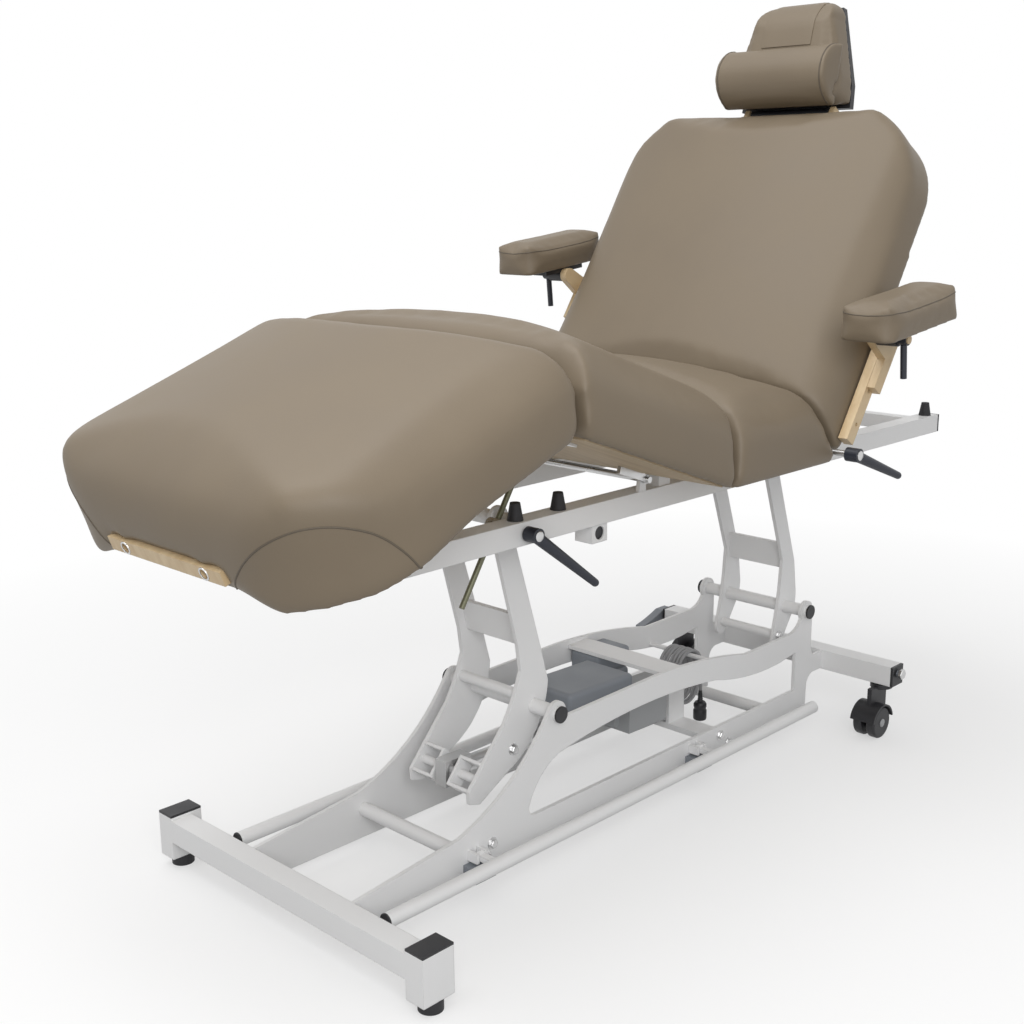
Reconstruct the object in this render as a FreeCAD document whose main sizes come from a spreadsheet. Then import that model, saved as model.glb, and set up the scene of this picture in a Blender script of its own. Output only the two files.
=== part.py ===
import FreeCAD, Part
import math
import os
import re
from FreeCAD import Placement, Rotation, Vector

# Sizes in millimetres and degrees.
# Lengths called *_at are measured from the front face of the foot-end crossbar.
SIZES = {
    "front_face_x": -821,
    # foot-end cross frame and head-end crossbar
    "post_depth": 62, "post_width": 39, "post_top": 100, "post_outer": 351, "cap_thick": 4,
    "glide_radius": 20, "glide_high": 20, "bar_side": 42, "bar_low": 53, "wall": 2.5,
    "rear_bar_at": 1408, "rear_bar_side": 44, "rear_bar_low": 116, "rear_bar_half": 309,
    # welded side plates and the tie bars between them
    "plate_outer": 137, "plate_thick": 8, "plate_low": 23, "sill_top": 93, "arch_top": 262, "arch_deep": 50,
    "pivot_front_at": 524, "pivot_rear_at": 1338, "pivot_high": 268, "boss_radius": 23,
    "pivot_radius": 13.5, "pivot_half": 144, "tie_radius": 13, "front_tie_at": 290, "rear_tie_at": 1234,
    "tie_high": 78, "bridge_at": 879, "bridge_wide": 60, "bridge_thick": 8,
    # parallel lifting arms
    "arm_outer": 79, "arm_thick": 8, "arm_lean": 84, "arm_rise": 364, "running_gap": 0.06,
    # upper frame
    "rail_outer": 176, "rail_side": 40, "rail_low": 610, "rail_front_at": 60, "rail_rear_at": 1812,
    "buffer_radius": 14, "buffer_high": 30,
    # upholstered sections
    "half_width": 381, "board_low": 681, "board_thick": 16, "cushion_thick": 140, "crown": 36,
    "edge_round": 80, "end_round": 38, "foot_round": 125, "foot_corner": 220, "foot_undercut": 14,
    "top_round": 80, "top_corner": 190,
    "thigh_hinge_at": 709, "hinge_drop": 8, "thigh_long": 442, "knee_rise": 75, "thigh_tilt": 20.15,
    "leg_long": 533, "leg_tilt": 21, "back_hinge_at": 1030, "back_hinge_rise": 19, "back_long": 705,
    "back_tilt": 56, "back_half": 375, "back_top_half": 360, "back_thick": 112,
    "hinge_pin_radius": 6, "strip_half": 148, "strip_high": 23, "strip_thick": 19,
    "cradle_bore_radius": 8, "cradle_bore_half": 103,
    # knee prop and clamp levers
    "prop_at": 405, "prop_high": 630, "prop_bracket_from_hinge": 240, "prop_radius": 5, "prop_y": -104,
    "knee_lever_long": 160, "back_lever_long": 130, "stud_radius": 6,
    # armrests and headrest
    "guide_wide": 26, "guide_past_pad": 30, "guide_thick": 19, "carrier_thick": 16,
    "pad_wide": 114, "pad_long": 262, "pad_thick": 66, "pad_tilt": 6.4, "pad_ahead": 2,
    "pad_near_along": 212, "pad_far_along": 305,
    "dowel_radius": 7, "dowel_half": 97, "dowel_high": 48,
    "headrest_wide": 268, "headrest_top_wide": 165, "headrest_high": 220, "headrest_foot": 10,
    "headrest_thick": 78, "headrest_lean": 12, "bolster_radius": 62,
    # casters and brake
    "caster_half": 277, "wheel_radius": 35, "wheel_wide": 21, "caster_trail": 36,
    "hex_radius": 8, "stem_radius": 6,
    # foot bars
    "footbar_half": 198, "footbar_radius": 13, "footbar_front_at": 62, "footbar_rear_at": 1281,
    "footbar_high": 77, "footbar_pivot_half": 152,
    # lifting actuator
    "tail_at": 1012, "tail_high": 145, "rod_pin_at": 389, "rod_pin_high": 163, "rod_radius": 15,
    "rod_pin_radius": 8, "rib_half": 20, "rod_play": 9.5, "tube_radius": 25,
    # mains lead
    "cord_radius": 3.5, "hank_loops": 7, "hank_at": 1125, "hank_high": 151, "hank_radius": 42,
    "hank_straight": 36, "hank_pitch": 8.4, "hank_y": 70, "plug_high": 42,
}

doc = FreeCAD.newDocument("electric_massage_table")
sheet = doc.addObject("Spreadsheet::Sheet", "Sizes")
for row, (alias, value) in enumerate(SIZES.items(), 1):
    sheet.set("A%d" % row, alias)
    sheet.set("B%d" % row, str(value))
    sheet.setAlias("B%d" % row, alias)
doc.recompute()

PIECES = []
X_AXIS = Vector(1, 0, 0)
Y_AXIS = Vector(0, 1, 0)
Z_AXIS = Vector(0, 0, 1)


def size(alias):
    return float(sheet.get(alias))


def along(distance):
    return size("front_face_x") + distance


def refer(text):
    def named(found):
        word = found.group(0)
        return "Sizes." + word if word in SIZES else word

    return re.sub(r"[a-z][a-z_]*", named, str(text))


def bind(item, values):
    for name, text in values.items():
        item.setExpression(name, refer(text))
    return item


def box(name, x, y, z, length, width, height):
    item = doc.addObject("Part::Box", name)
    return bind(item, {"Length": length, "Width": width, "Height": height,
                       "Placement.Base.x": x, "Placement.Base.y": y, "Placement.Base.z": z})


def cylinder(name, axis, x, y, z, radius, height):
    item = doc.addObject("Part::Cylinder", name)
    item.Placement = Placement(Vector(), Rotation(Z_AXIS, axis))
    return bind(item, {"Radius": radius, "Height": height,
                       "Placement.Base.x": x, "Placement.Base.y": y, "Placement.Base.z": z})


def cut(name, base, tool):
    item = doc.addObject("Part::Cut", name)
    item.Base = base
    item.Tool = tool
    return item


def fuse(name, items):
    item = doc.addObject("Part::MultiFuse", name)
    item.Shapes = items
    return item


def group(name, items):
    item = doc.addObject("Part::Compound", name)
    item.Links = items
    return item


def piece(label, item):
    item.Label = label
    PIECES.append(item)
    return item


def formed(label, shape, placement=None):
    item = doc.addObject("Part::Feature", label)
    item.Shape = shape
    if placement is not None:
        item.Placement = placement.multiply(item.Placement)
    return piece(label, item)


def path(points, place):
    """Edges through points; a pair of points is an arc through the first to the second."""
    edges = []
    start = points[0]
    for step in points[1:]:
        if isinstance(step[0], tuple):
            edges.append(Part.Arc(place(*start), place(*step[0]), place(*step[1])).toShape())
            start = step[1]
        else:
            edges.append(Part.makeLine(place(*start), place(*step)))
            start = step
    return edges


def closed_face(points, place):
    last = points[-1][1] if isinstance(points[-1][0], tuple) else points[-1]
    closing = [] if last == points[0] else [points[0]]
    return Part.Face(Part.Wire(path(points + closing, place)))


def side_plate(points, y_low, y_high):
    face = closed_face(points, lambda x, z: Vector(x, y_low, z))
    return face.extrude(Vector(0, y_high - y_low, 0))


def bar(start, end, radius):
    run = end - start
    return Part.makeCylinder(radius, run.Length, start, run)


def block(x0, x1, y0, y1, z0, z1):
    return Part.makeBox(x1 - x0, y1 - y0, z1 - z0, Vector(x0, y0, z0))


def turned(x, z, angle):
    return Placement(Vector(x, 0, z), Rotation(Y_AXIS, angle))


def cushion(profile, half_ends, x_ends, thick, corner_radii):
    """Upholstered block: a side profile, a crowned cross-section and a plan with round corners, in common."""
    crown = size("crown")
    edge = size("edge_round")
    wide = max(half_ends)
    x_low, x_high = x_ends
    side = side_plate(profile, -wide - 5, wide + 5)
    side_top = thick - edge
    swing = math.radians(80)
    for _ in range(12):
        shoulder_y = wide - 1 - edge * (1 - math.cos(swing))
        shoulder_z = side_top + edge * math.sin(swing)
        swing = math.pi / 2 - 2 * math.atan((thick + crown - shoulder_z) / shoulder_y)
    middle_y = wide - 1 - edge * (1 - math.cos(swing / 2))
    middle_z = side_top + edge * math.sin(swing / 2)
    cross = [(-wide + 7, 0), (wide - 7, 0), ((wide, 0.6 * side_top), (wide - 1, side_top)),
             ((middle_y, middle_z), (shoulder_y, shoulder_z)),
             ((0, thick + crown), (-shoulder_y, shoulder_z)),
             ((-middle_y, middle_z), (-wide + 1, side_top)), ((-wide, 0.6 * side_top), (-wide + 7, 0))]
    front = closed_face(cross, lambda y, z: Vector(x_low - 5, y, z))
    front = front.extrude(Vector(x_high - x_low + 10, 0, 0))
    overrun = 2
    plan_ends = (x_low - overrun, x_high + overrun)
    plan = [Vector(plan_ends[0], -half_ends[0], -5), Vector(plan_ends[1], -half_ends[1], -5),
            Vector(plan_ends[1], half_ends[1], -5), Vector(plan_ends[0], half_ends[0], -5)]
    slab = Part.Face(Part.makePolygon(plan + [plan[0]])).extrude(Vector(0, 0, thick + crown + 10))
    for end, radius in zip(plan_ends, corner_radii):
        if radius:
            upright = [e for e in slab.Edges
                       if abs(e.Vertexes[0].X - end) < 0.01 and abs(e.Vertexes[1].X - end) < 0.01
                       and abs(e.Vertexes[0].Z - e.Vertexes[1].Z) > 1]
            slab = slab.makeFillet(radius, upright)
    return side.common(front).common(slab)


def round_over(x, z, lean, top, radius, way):
    """Arc from an end face through (x, z) to a cushion's top: its start, middle and end. way is +1 or -1."""
    slope = math.atan(lean)
    middle_z = top - radius
    start_z = middle_z + radius * math.sin(slope)
    middle_x = x - way * lean * (start_z - z) - way * radius * math.cos(slope)
    angles = (slope, (slope + math.pi / 2) / 2, math.pi / 2)
    return [(middle_x + way * radius * math.cos(angle), middle_z + radius * math.sin(angle))
            for angle in angles]


# Foot-end cross frame: square crossbar between two upright posts
crossbar = cut("crossbar_tube",
               box("crossbar_out", "front_face_x", "-post_outer + post_width", "bar_low",
                   "bar_side", "2 * (post_outer - post_width)", "bar_side"),
               box("crossbar_in", "front_face_x + wall", "-post_outer + post_width - 1", "bar_low + wall",
                   "bar_side - 2 * wall", "2 * (post_outer - post_width) + 2", "bar_side - 2 * wall"))
posts = []
for name, y in (("right", "-post_outer"), ("left", "post_outer - post_width")):
    posts.append(cut("post_" + name,
                     box("post_out_" + name, "front_face_x", y, "glide_high", "post_depth", "post_width",
                         "post_top - glide_high"),
                     box("post_in_" + name, "front_face_x + wall", y + " + wall", "glide_high + wall",
                         "post_depth - 2 * wall", "post_width - 2 * wall", "post_top - glide_high")))
piece("front_crossbar", group("front_crossbar", [crossbar] + posts))
piece("front_glides", group("front_glides", [
    cylinder("glide_right", Z_AXIS, "front_face_x + post_depth / 2", "-post_outer + post_width / 2", "0",
             "glide_radius", "glide_high"),
    cylinder("glide_left", Z_AXIS, "front_face_x + post_depth / 2", "post_outer - post_width / 2", "0",
             "glide_radius", "glide_high")]))

# Head-end crossbar with a hollow for the brake shaft
rear_hex_z = "rear_bar_low + rear_bar_side / 2 + 5"
rear_mid_x = "front_face_x + rear_bar_at + rear_bar_side / 2"
rear_tube = cut("rear_tube",
                box("rear_bar_out", "front_face_x + rear_bar_at", "-rear_bar_half", "rear_bar_low",
                    "rear_bar_side", "2 * rear_bar_half", "rear_bar_side"),
                box("rear_bar_in", "front_face_x + rear_bar_at + wall", "-rear_bar_half - 1",
                    "rear_bar_low + wall", "rear_bar_side - 2 * wall", "2 * rear_bar_half + 2",
                    "rear_bar_side - 2 * wall"))
stem_bores = fuse("stem_bores", [
    cylinder("stem_bore_right", Z_AXIS, rear_mid_x, "-caster_half", "rear_bar_low - 1",
             "stem_radius + running_gap", "6"),
    cylinder("stem_bore_left", Z_AXIS, rear_mid_x, "caster_half", "rear_bar_low - 1",
             "stem_radius + running_gap", "6")])
piece("rear_crossbar", cut("rear_crossbar", rear_tube, stem_bores))

# Black end caps: post tops, crossbar ends and pivot-tube ends
caps = []
for name, y in (("right", "-post_outer"), ("left", "post_outer - post_width")):
    caps.append(box("post_cap_" + name, "front_face_x", y, "post_top", "post_depth", "post_width",
                    "cap_thick"))
for name, y in (("right", "-rear_bar_half - 6"), ("left", "rear_bar_half")):
    caps.append(cut("bar_cap_" + name,
                    box("bar_cap_out_" + name, "front_face_x + rear_bar_at", y, "rear_bar_low",
                        "rear_bar_side", "6", "rear_bar_side"),
                    cylinder("bar_cap_bore_" + name, Y_AXIS, rear_mid_x, y + " - 1", rear_hex_z,
                             "hex_radius + running_gap", "8")))
for end in ("front", "rear"):
    for name, y in (("right", "-pivot_half - cap_thick"), ("left", "pivot_half")):
        caps.append(cylinder("pivot_cap_" + end + name, Y_AXIS, "front_face_x + pivot_" + end + "_at", y,
                             "pivot_high", "pivot_radius + 2", "cap_thick"))
piece("base_end_caps", group("base_end_caps", caps))

# Side plates: one profile with an arched window, a boss at each lower pivot
# and a lug to the head-end crossbar
pivot_z = size("pivot_high")
front_pivot = along(size("pivot_front_at"))
rear_pivot = along(size("pivot_rear_at"))
boss = size("boss_radius")
low = size("plate_low")
sill = size("sill_top")
arch = size("arch_top")
under = arch - size("arch_deep")
plate_front = along(size("bar_side"))
lug_end = along(size("rear_bar_at"))
tail_z = size("tail_high")
outline = [
    (plate_front, low), (rear_pivot + 8, low), (rear_pivot + 10, 88),
    ((rear_pivot + 16, 108), (rear_pivot + 36, size("rear_bar_low") + 2)),
    (lug_end, size("rear_bar_low") + 2), (lug_end, size("rear_bar_low") + size("rear_bar_side") - 2),
    (rear_pivot + 34, size("rear_bar_low") + size("rear_bar_side") - 2),
    ((rear_pivot + 25, 172), (rear_pivot + boss, 196)), (rear_pivot + boss, pivot_z),
    ((rear_pivot, pivot_z + boss), (rear_pivot - boss * 0.8, pivot_z - boss * 0.6)),
    ((rear_pivot - 40, arch - 28), (rear_pivot - 66, arch - 33)), (rear_pivot - 226, arch - 35),
    ((rear_pivot - 360, arch - 11), (rear_pivot - 520, arch)), (front_pivot + 30, arch - 5),
    (front_pivot + boss * 0.98, pivot_z - boss * 0.2),
    ((front_pivot, pivot_z + boss), (front_pivot - boss * 0.9, pivot_z + boss * 0.43)),
    ((front_pivot - 116, pivot_z - 91), (front_pivot - 247, pivot_z - 156)), (plate_front, pivot_z - 180)]
window = [
    (front_pivot - 58, sill), ((front_pivot - 72, sill + 7), (front_pivot - 74, sill + 22)),
    ((front_pivot - 48, pivot_z - 111), (front_pivot + 4, under - 21)),
    ((front_pivot + 190, under), (front_pivot + 480, under - 13)),
    ((front_pivot + 600, under - 36), (rear_pivot - 100, under - 38)), (rear_pivot - 38, under - 30),
    (rear_pivot - 38, sill)]
for name, sign in (("right", -1), ("left", 1)):
    inner = sign * (size("plate_outer") - size("plate_thick"))
    outer = sign * size("plate_outer")
    y_low, y_high = sorted((inner, outer))
    shape = side_plate(outline, y_low, y_high).cut(side_plate(window, y_low - 1, y_high + 1))
    for x in (front_pivot, rear_pivot):
        hole = bar(Vector(x, y_low - 1, pivot_z), Vector(x, y_high + 1, pivot_z), size("pivot_radius"))
        shape = shape.cut(hole)
    formed("side_plate_" + name, shape)

# Pivot tubes, tie bars and the cord's rest between the side plates
inside = "plate_outer - plate_thick"
piece("base_cross_members", group("base_cross_members", [
    cylinder("pivot_tube_front", Y_AXIS, "front_face_x + pivot_front_at", "-pivot_half", "pivot_high",
             "pivot_radius", "2 * pivot_half"),
    cylinder("pivot_tube_rear", Y_AXIS, "front_face_x + pivot_rear_at", "-pivot_half", "pivot_high",
             "pivot_radius", "2 * pivot_half"),
    cylinder("cord_rest", Y_AXIS, "front_face_x + hank_at", "-(" + inside + ")", "hank_high + 33", "5",
             "2 * (" + inside + ")"),
    cylinder("front_tie", Y_AXIS, "front_face_x + front_tie_at", "-(" + inside + ")", "tie_high",
             "tie_radius", "2 * (" + inside + ")"),
    cylinder("rear_tie", Y_AXIS, "front_face_x + rear_tie_at", "-(" + inside + ")", "tie_high - 20",
             "tie_radius", "2 * (" + inside + ")"),
    box("bridge_bar", "front_face_x + bridge_at - bridge_wide / 2", "-(" + inside + ")",
        "arch_top - 18", "bridge_wide", "2 * (" + inside + ")", "bridge_thick")]))

# Brackets welded on the base: foot-bar pivot lugs and the actuator's tail fork
foot_z = size("footbar_high")
foot_pivot = size("footbar_pivot_half")
rocker_pin = 3.5
ROCKERS = (310, 930)
brackets = []
for sign in (-1, 1):
    for at in ROCKERS:
        for shift in (-14, 8):
            x0 = along(at + shift)
            y_low, y_high = sorted((sign * size("plate_outer"), sign * (foot_pivot + 9)))
            lug = block(x0, x0 + 6, y_low, y_high, foot_z - 9, foot_z + 9)
            brackets.append(lug)
        pin_y = sign * foot_pivot
        brackets.append(bar(Vector(along(at - 8), pin_y, foot_z), Vector(along(at + 8), pin_y, foot_z),
                            rocker_pin))
tail_x = along(size("tail_at"))
fork_long = 26
fork_in = 24
fork_out = 32
fork_foot = sill - 13
for sign in (-1, 1):
    y_low, y_high = sorted((sign * fork_in, sign * fork_out))
    brackets.append(block(tail_x - fork_long, tail_x + fork_long, y_low, y_high, fork_foot, tail_z + 24))
inner_y = size("plate_outer") - size("plate_thick")
brackets.append(block(tail_x - fork_long, tail_x + fork_long, -inner_y, inner_y, fork_foot - 12, fork_foot))
brackets.append(bar(Vector(tail_x, -fork_in, tail_z), Vector(tail_x, fork_in, tail_z), 8))
formed("base_brackets", Part.makeCompound(brackets))
switches = []
for sign in (-1, 1):
    for at in ROCKERS:
        y_low, y_high = sorted((sign * size("plate_outer"), sign * (foot_pivot + 16)))
        switches.append(block(along(at - 24), along(at + 24), y_low, y_high, foot_z - 40, foot_z - 14))
formed("foot_switches", Part.makeCompound(switches))

# Foot bars: a long tube on two rocking arms each side
for name, sign in (("right", -1), ("left", 1)):
    y = sign * size("footbar_half")
    pin_y = sign * foot_pivot
    tube = bar(Vector(along(size("footbar_front_at")), y, foot_z),
               Vector(along(size("footbar_rear_at")), y, foot_z), size("footbar_radius"))
    for at in ROCKERS:
        x_low = along(at - 7.5)
        x_high = along(at + 7.5)
        eye = bar(Vector(x_low, pin_y, foot_z), Vector(x_high, pin_y, foot_z), 8)
        y_low, y_high = sorted((pin_y, y))
        arm = block(x_low, x_high, y_low, y_high, foot_z - 5, foot_z + 5)
        hole = bar(Vector(x_low - 1.5, pin_y, foot_z), Vector(x_high + 1.5, pin_y, foot_z),
                   rocker_pin + size("running_gap"))
        tube = tube.fuse([eye, arm]).cut(hole)
    formed("foot_bar_" + name, tube.removeSplitter())

# Lifting arms: bell-crank plates at the front, straight plates at the rear
upper_front = front_pivot - size("arm_lean")
upper_rear = rear_pivot - size("arm_lean")
upper_z = pivot_z + size("arm_rise")
gap = size("running_gap")
pivot_bore = size("pivot_radius") + gap
arm_in = size("arm_outer") - size("arm_thick")
front_arm = [
    (upper_front - 22, upper_z + 4), (front_pivot - 40, pivot_z + 124), (front_pivot - 33, pivot_z + 74),
    ((front_pivot - 49, pivot_z + 33), (front_pivot - 75, pivot_z - 14)), (front_pivot - 166, pivot_z - 116),
    (front_pivot - 165, pivot_z - 139), (front_pivot - 140, pivot_z - 146),
    (front_pivot - 69, pivot_z - 108), ((front_pivot + 12, pivot_z - 40), (front_pivot + 38, pivot_z + 39)),
    (front_pivot + 21, pivot_z + 100), (upper_front + 22, upper_z + 6),
    ((upper_front + 2, upper_z + 23), (upper_front - 22, upper_z + 4))]
rear_arm = [
    (upper_rear - 22, upper_z + 2), (rear_pivot - 13, pivot_z + 108), (rear_pivot - 18, pivot_z + 50),
    ((rear_pivot - 30, pivot_z - 20), (rear_pivot - 41, pivot_z - 65)),
    ((rear_pivot - 30, pivot_z - 92), (rear_pivot - 8, pivot_z - 82)), (rear_pivot + 28, pivot_z - 30),
    ((rear_pivot + 42, pivot_z), (rear_pivot + 44, pivot_z + 24)), (rear_pivot + 33, pivot_z + 99),
    (upper_rear + 22, upper_z + 6), ((upper_rear + 2, upper_z + 23), (upper_rear - 22, upper_z + 2))]
for label, profile, lower, upper in (("front_arm_plates", front_arm, front_pivot, upper_front),
                                     ("rear_arm_plates", rear_arm, rear_pivot, upper_rear)):
    plates = []
    for sign in (-1, 1):
        y_low, y_high = sorted((sign * arm_in, sign * size("arm_outer")))
        plate = side_plate(profile, y_low, y_high)
        for x, z in ((lower, pivot_z), (upper, upper_z)):
            plate = plate.cut(bar(Vector(x, y_low - 1, z), Vector(x, y_high + 1, z), pivot_bore))
        plates.append(plate)
    formed(label, Part.makeCompound(plates))
pin_x = along(size("rod_pin_at"))
pin_z = size("rod_pin_high")


def slanted(x, z, angle, long_side, short_side):
    plate = block(-long_side / 2, long_side / 2, -arm_in, arm_in, -short_side / 2, short_side / 2)
    plate.Placement = turned(x, z, angle)
    return plate


front_members = [slanted(front_pivot - 24, pivot_z + 148, 76, 62, 8),
                 bar(Vector(front_pivot - 34, -arm_in, pivot_z + 29),
                     Vector(front_pivot - 34, arm_in, pivot_z + 29), 10)]
rib_in = size("rib_half")
for sign in (-1, 1):
    y_low, y_high = sorted((sign * rib_in, sign * (rib_in + 6)))
    rib = block(-17, 17, y_low, y_high, -29, 29)
    rib.Placement = turned(pin_x, pin_z, 39)
    front_members.append(rib.cut(bar(Vector(pin_x, y_low - 1, pin_z), Vector(pin_x, y_high + 1, pin_z),
                                     size("rod_pin_radius"))))
    y_low, y_high = sorted((sign * (rib_in + 6), sign * arm_in))
    for shift in (-29, 23):
        rung = block(-17, 17, y_low, y_high, shift, shift + 6)
        rung.Placement = turned(pin_x, pin_z, 39)
        front_members.append(rung)
front_members.append(bar(Vector(pin_x, -arm_in, pin_z), Vector(pin_x, arm_in, pin_z), size("rod_pin_radius")))
formed("front_arm_cross_members", Part.makeCompound(front_members))
formed("rear_arm_cross_members", Part.makeCompound([
    slanted(rear_pivot + 2, pivot_z + 115, 84, 58, 8),
    bar(Vector(rear_pivot - 20, -arm_in, pivot_z - 64), Vector(rear_pivot - 20, arm_in, pivot_z - 64), 10)]))

# Upper frame: two long rails, cross tubes and the two upper pivots
rails = []
for name, y in (("right", "-rail_outer"), ("left", "rail_outer - rail_side")):
    rails.append(cut("rail_" + name,
                     box("rail_out_" + name, "front_face_x + rail_front_at", y, "rail_low",
                         "rail_rear_at - rail_front_at", "rail_side", "rail_side"),
                     box("rail_in_" + name, "front_face_x + rail_front_at - 1", y + " + wall",
                         "rail_low + wall", "rail_rear_at - rail_front_at + 2",
                         "rail_side - 2 * wall", "rail_side - 2 * wall")))
rails[0] = cut("rail_right_bored", rails[0],
               cylinder("stud_bore", Y_AXIS, "front_face_x + prop_at", "-rail_outer - 1", "prop_high",
                        "stud_radius + running_gap", "rail_side + 2"))
piece("frame_rails", group("frame_rails", rails))
rail_in = "rail_outer - rail_side"
piece("frame_cross_tubes", group("frame_cross_tubes", [
    cylinder("upper_pivot_front", Y_AXIS, "front_face_x + pivot_front_at - arm_lean", "-(" + rail_in + ")",
             "pivot_high + arm_rise", "pivot_radius", "2 * (" + rail_in + ")"),
    cylinder("upper_pivot_rear", Y_AXIS, "front_face_x + pivot_rear_at - arm_lean", "-(" + rail_in + ")",
             "pivot_high + arm_rise", "pivot_radius", "2 * (" + rail_in + ")"),
    box("cross_front", "front_face_x + rail_front_at + 30", "-(" + rail_in + ")", "rail_low + 4", "32",
        "2 * (" + rail_in + ")", "32"),
    box("cross_rear", "front_face_x + rail_rear_at - 70", "-(" + rail_in + ")", "rail_low + 4", "32",
        "2 * (" + rail_in + ")", "32")]))
ends = []
buffers = []
for name, y in (("right", "-rail_outer"), ("left", "rail_outer - rail_side")):
    ends.append(box("rail_cap_front_" + name, "front_face_x + rail_front_at - 6", y, "rail_low", "6",
                    "rail_side", "rail_side"))
    ends.append(box("rail_cap_rear_" + name, "front_face_x + rail_rear_at", y, "rail_low", "6",
                    "rail_side", "rail_side"))
    for at in (400, 505, 1390, 1785):
        cone = doc.addObject("Part::Cone", "buffer_%s_%d" % (name, at))
        bind(cone, {"Radius1": "buffer_radius", "Radius2": "buffer_radius * 0.62", "Height": "buffer_high",
                    "Placement.Base.x": "front_face_x + %d" % at, "Placement.Base.y": y + " + rail_side / 2",
                    "Placement.Base.z": "rail_low + rail_side"})
        buffers.append(cone)
piece("rail_rubbers", group("rail_rubbers", ends + buffers))

# Hinge brackets on the rails, side sockets below them, and the seat's packers
rail_top = size("rail_low") + size("rail_side")
board_low = size("board_low")
thigh_x = along(size("thigh_hinge_at"))
thigh_z = board_low - size("hinge_drop")
back_x = along(size("back_hinge_at"))
back_z = board_low + size("back_hinge_rise")
pin_r = size("hinge_pin_radius")
lever_face = size("back_half") + size("guide_thick") + 4
stands = []
for sign in (-1, 1):
    y_low, y_high = sorted((sign * (size("rail_outer") - 8), sign * size("rail_outer")))
    for x, z in ((thigh_x, thigh_z), (back_x, back_z)):
        profile = [(x - 10, rail_top), (x + 10, rail_top), (x + 7.5, z), ((x, z + 7.5), (x - 7.5, z))]
        stand = side_plate(profile, y_low, y_high)
        stands.append(stand.cut(bar(Vector(x, y_low - 1, z), Vector(x, y_high + 1, z), pin_r)))
    for at in (760, 930):
        packer_y = sorted((sign * 140, sign * 172))
        stands.append(block(along(at), along(at + 34), *packer_y, rail_top, board_low))
    y_low, y_high = sorted((sign * (size("rail_outer") - 6), sign * (size("rail_outer") - 46)))
    socket_x = along(598)
    socket_z = size("rail_low") - 17
    socket = block(socket_x - 20, socket_x + 20, y_low, y_high, socket_z - 17, size("rail_low"))
    hole = bar(Vector(socket_x, y_low - 1, socket_z), Vector(socket_x, y_high + 1, socket_z), 12)
    stands.append(socket.cut(hole))
formed("frame_brackets", Part.makeCompound(stands))
formed("hinge_pins", Part.makeCompound([
    bar(Vector(thigh_x, -192, thigh_z), Vector(thigh_x, 192, thigh_z), pin_r),
    bar(Vector(back_x, -lever_face - 19, back_z), Vector(back_x, 340, back_z), pin_r)]))

# Seat: board and cushion fixed to the rails
thick = size("cushion_thick")
wide = size("half_width")
board = size("board_thick")
lean_front = 0.18
lean_rear = 0.577
seat_low = thigh_x + 5
seat_high = back_x - 9
seat_rise = size("back_hinge_rise")
end_round = size("end_round")
cushion_top = thick + size("crown") + 1
rear = round_over(seat_high, seat_rise, lean_rear, cushion_top, end_round, 1)
front = round_over(seat_low, 0, lean_front, cushion_top, end_round, -1)
seat_profile = [
    (seat_low, 0), (seat_high, 0), (seat_high, seat_rise), rear[0], (rear[1], rear[2]),
    front[2], (front[1], front[0])]
seat_frame = Placement(Vector(0, 0, board_low), Rotation())
seat_shape = cushion(seat_profile, (wide, wide), (seat_low, seat_high), thick, (0, 0))
seat_board = block(seat_low + 12, seat_high - 12, -wide + 22, wide - 22, 0, board)
formed("seat_board", seat_board, seat_frame)
formed("seat_cushion", seat_shape.cut(seat_board), seat_frame)

# Thigh section in its own frame: hinge axis at the origin, knee towards -X
drop = size("hinge_drop")
thigh_long = size("thigh_long")
knee_rise = size("knee_rise") - drop
thigh_frame = turned(thigh_x, thigh_z, size("thigh_tilt"))
undercut = knee_rise * 0.53
lean_thigh = 0.30
thigh_end = -5
rear = round_over(thigh_end, 0, lean_thigh, cushion_top, end_round, 1)
front = round_over(-thigh_long + 1.5, knee_rise, 0, cushion_top, end_round, -1)
thigh_profile = [
    (-thigh_long + 1.5 + undercut, 0), (thigh_end, 0), rear[0], (rear[1], rear[2]),
    front[2], (front[1], front[0]), (-thigh_long + 1.5, knee_rise)]
lift = Vector(0, 0, drop)
thigh_shape = cushion(thigh_profile, (wide, wide), (-thigh_long + 1.5, thigh_end), thick, (0, 0))
thigh_board = block(-thigh_long + 48, -18, -wide + 22, wide - 22, 0, board)
thigh_shape = thigh_shape.cut(thigh_board)
thigh_shape.translate(lift)
thigh_board.translate(lift)
knee_z = knee_rise + drop
KNUCKLES = (-250, 250)


def knuckle_room(x, z, away, y):
    """Clearance round one knee knuckle: away is +1 on the thigh side and -1 on the leg side."""
    corners = [(-30, 13), (13, 13), (13 + undercut, -knee_rise - 2), (-30, -knee_rise - 2)]
    return side_plate([(x + away * across, z + up) for across, up in corners], y - 44, y + 44)


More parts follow.
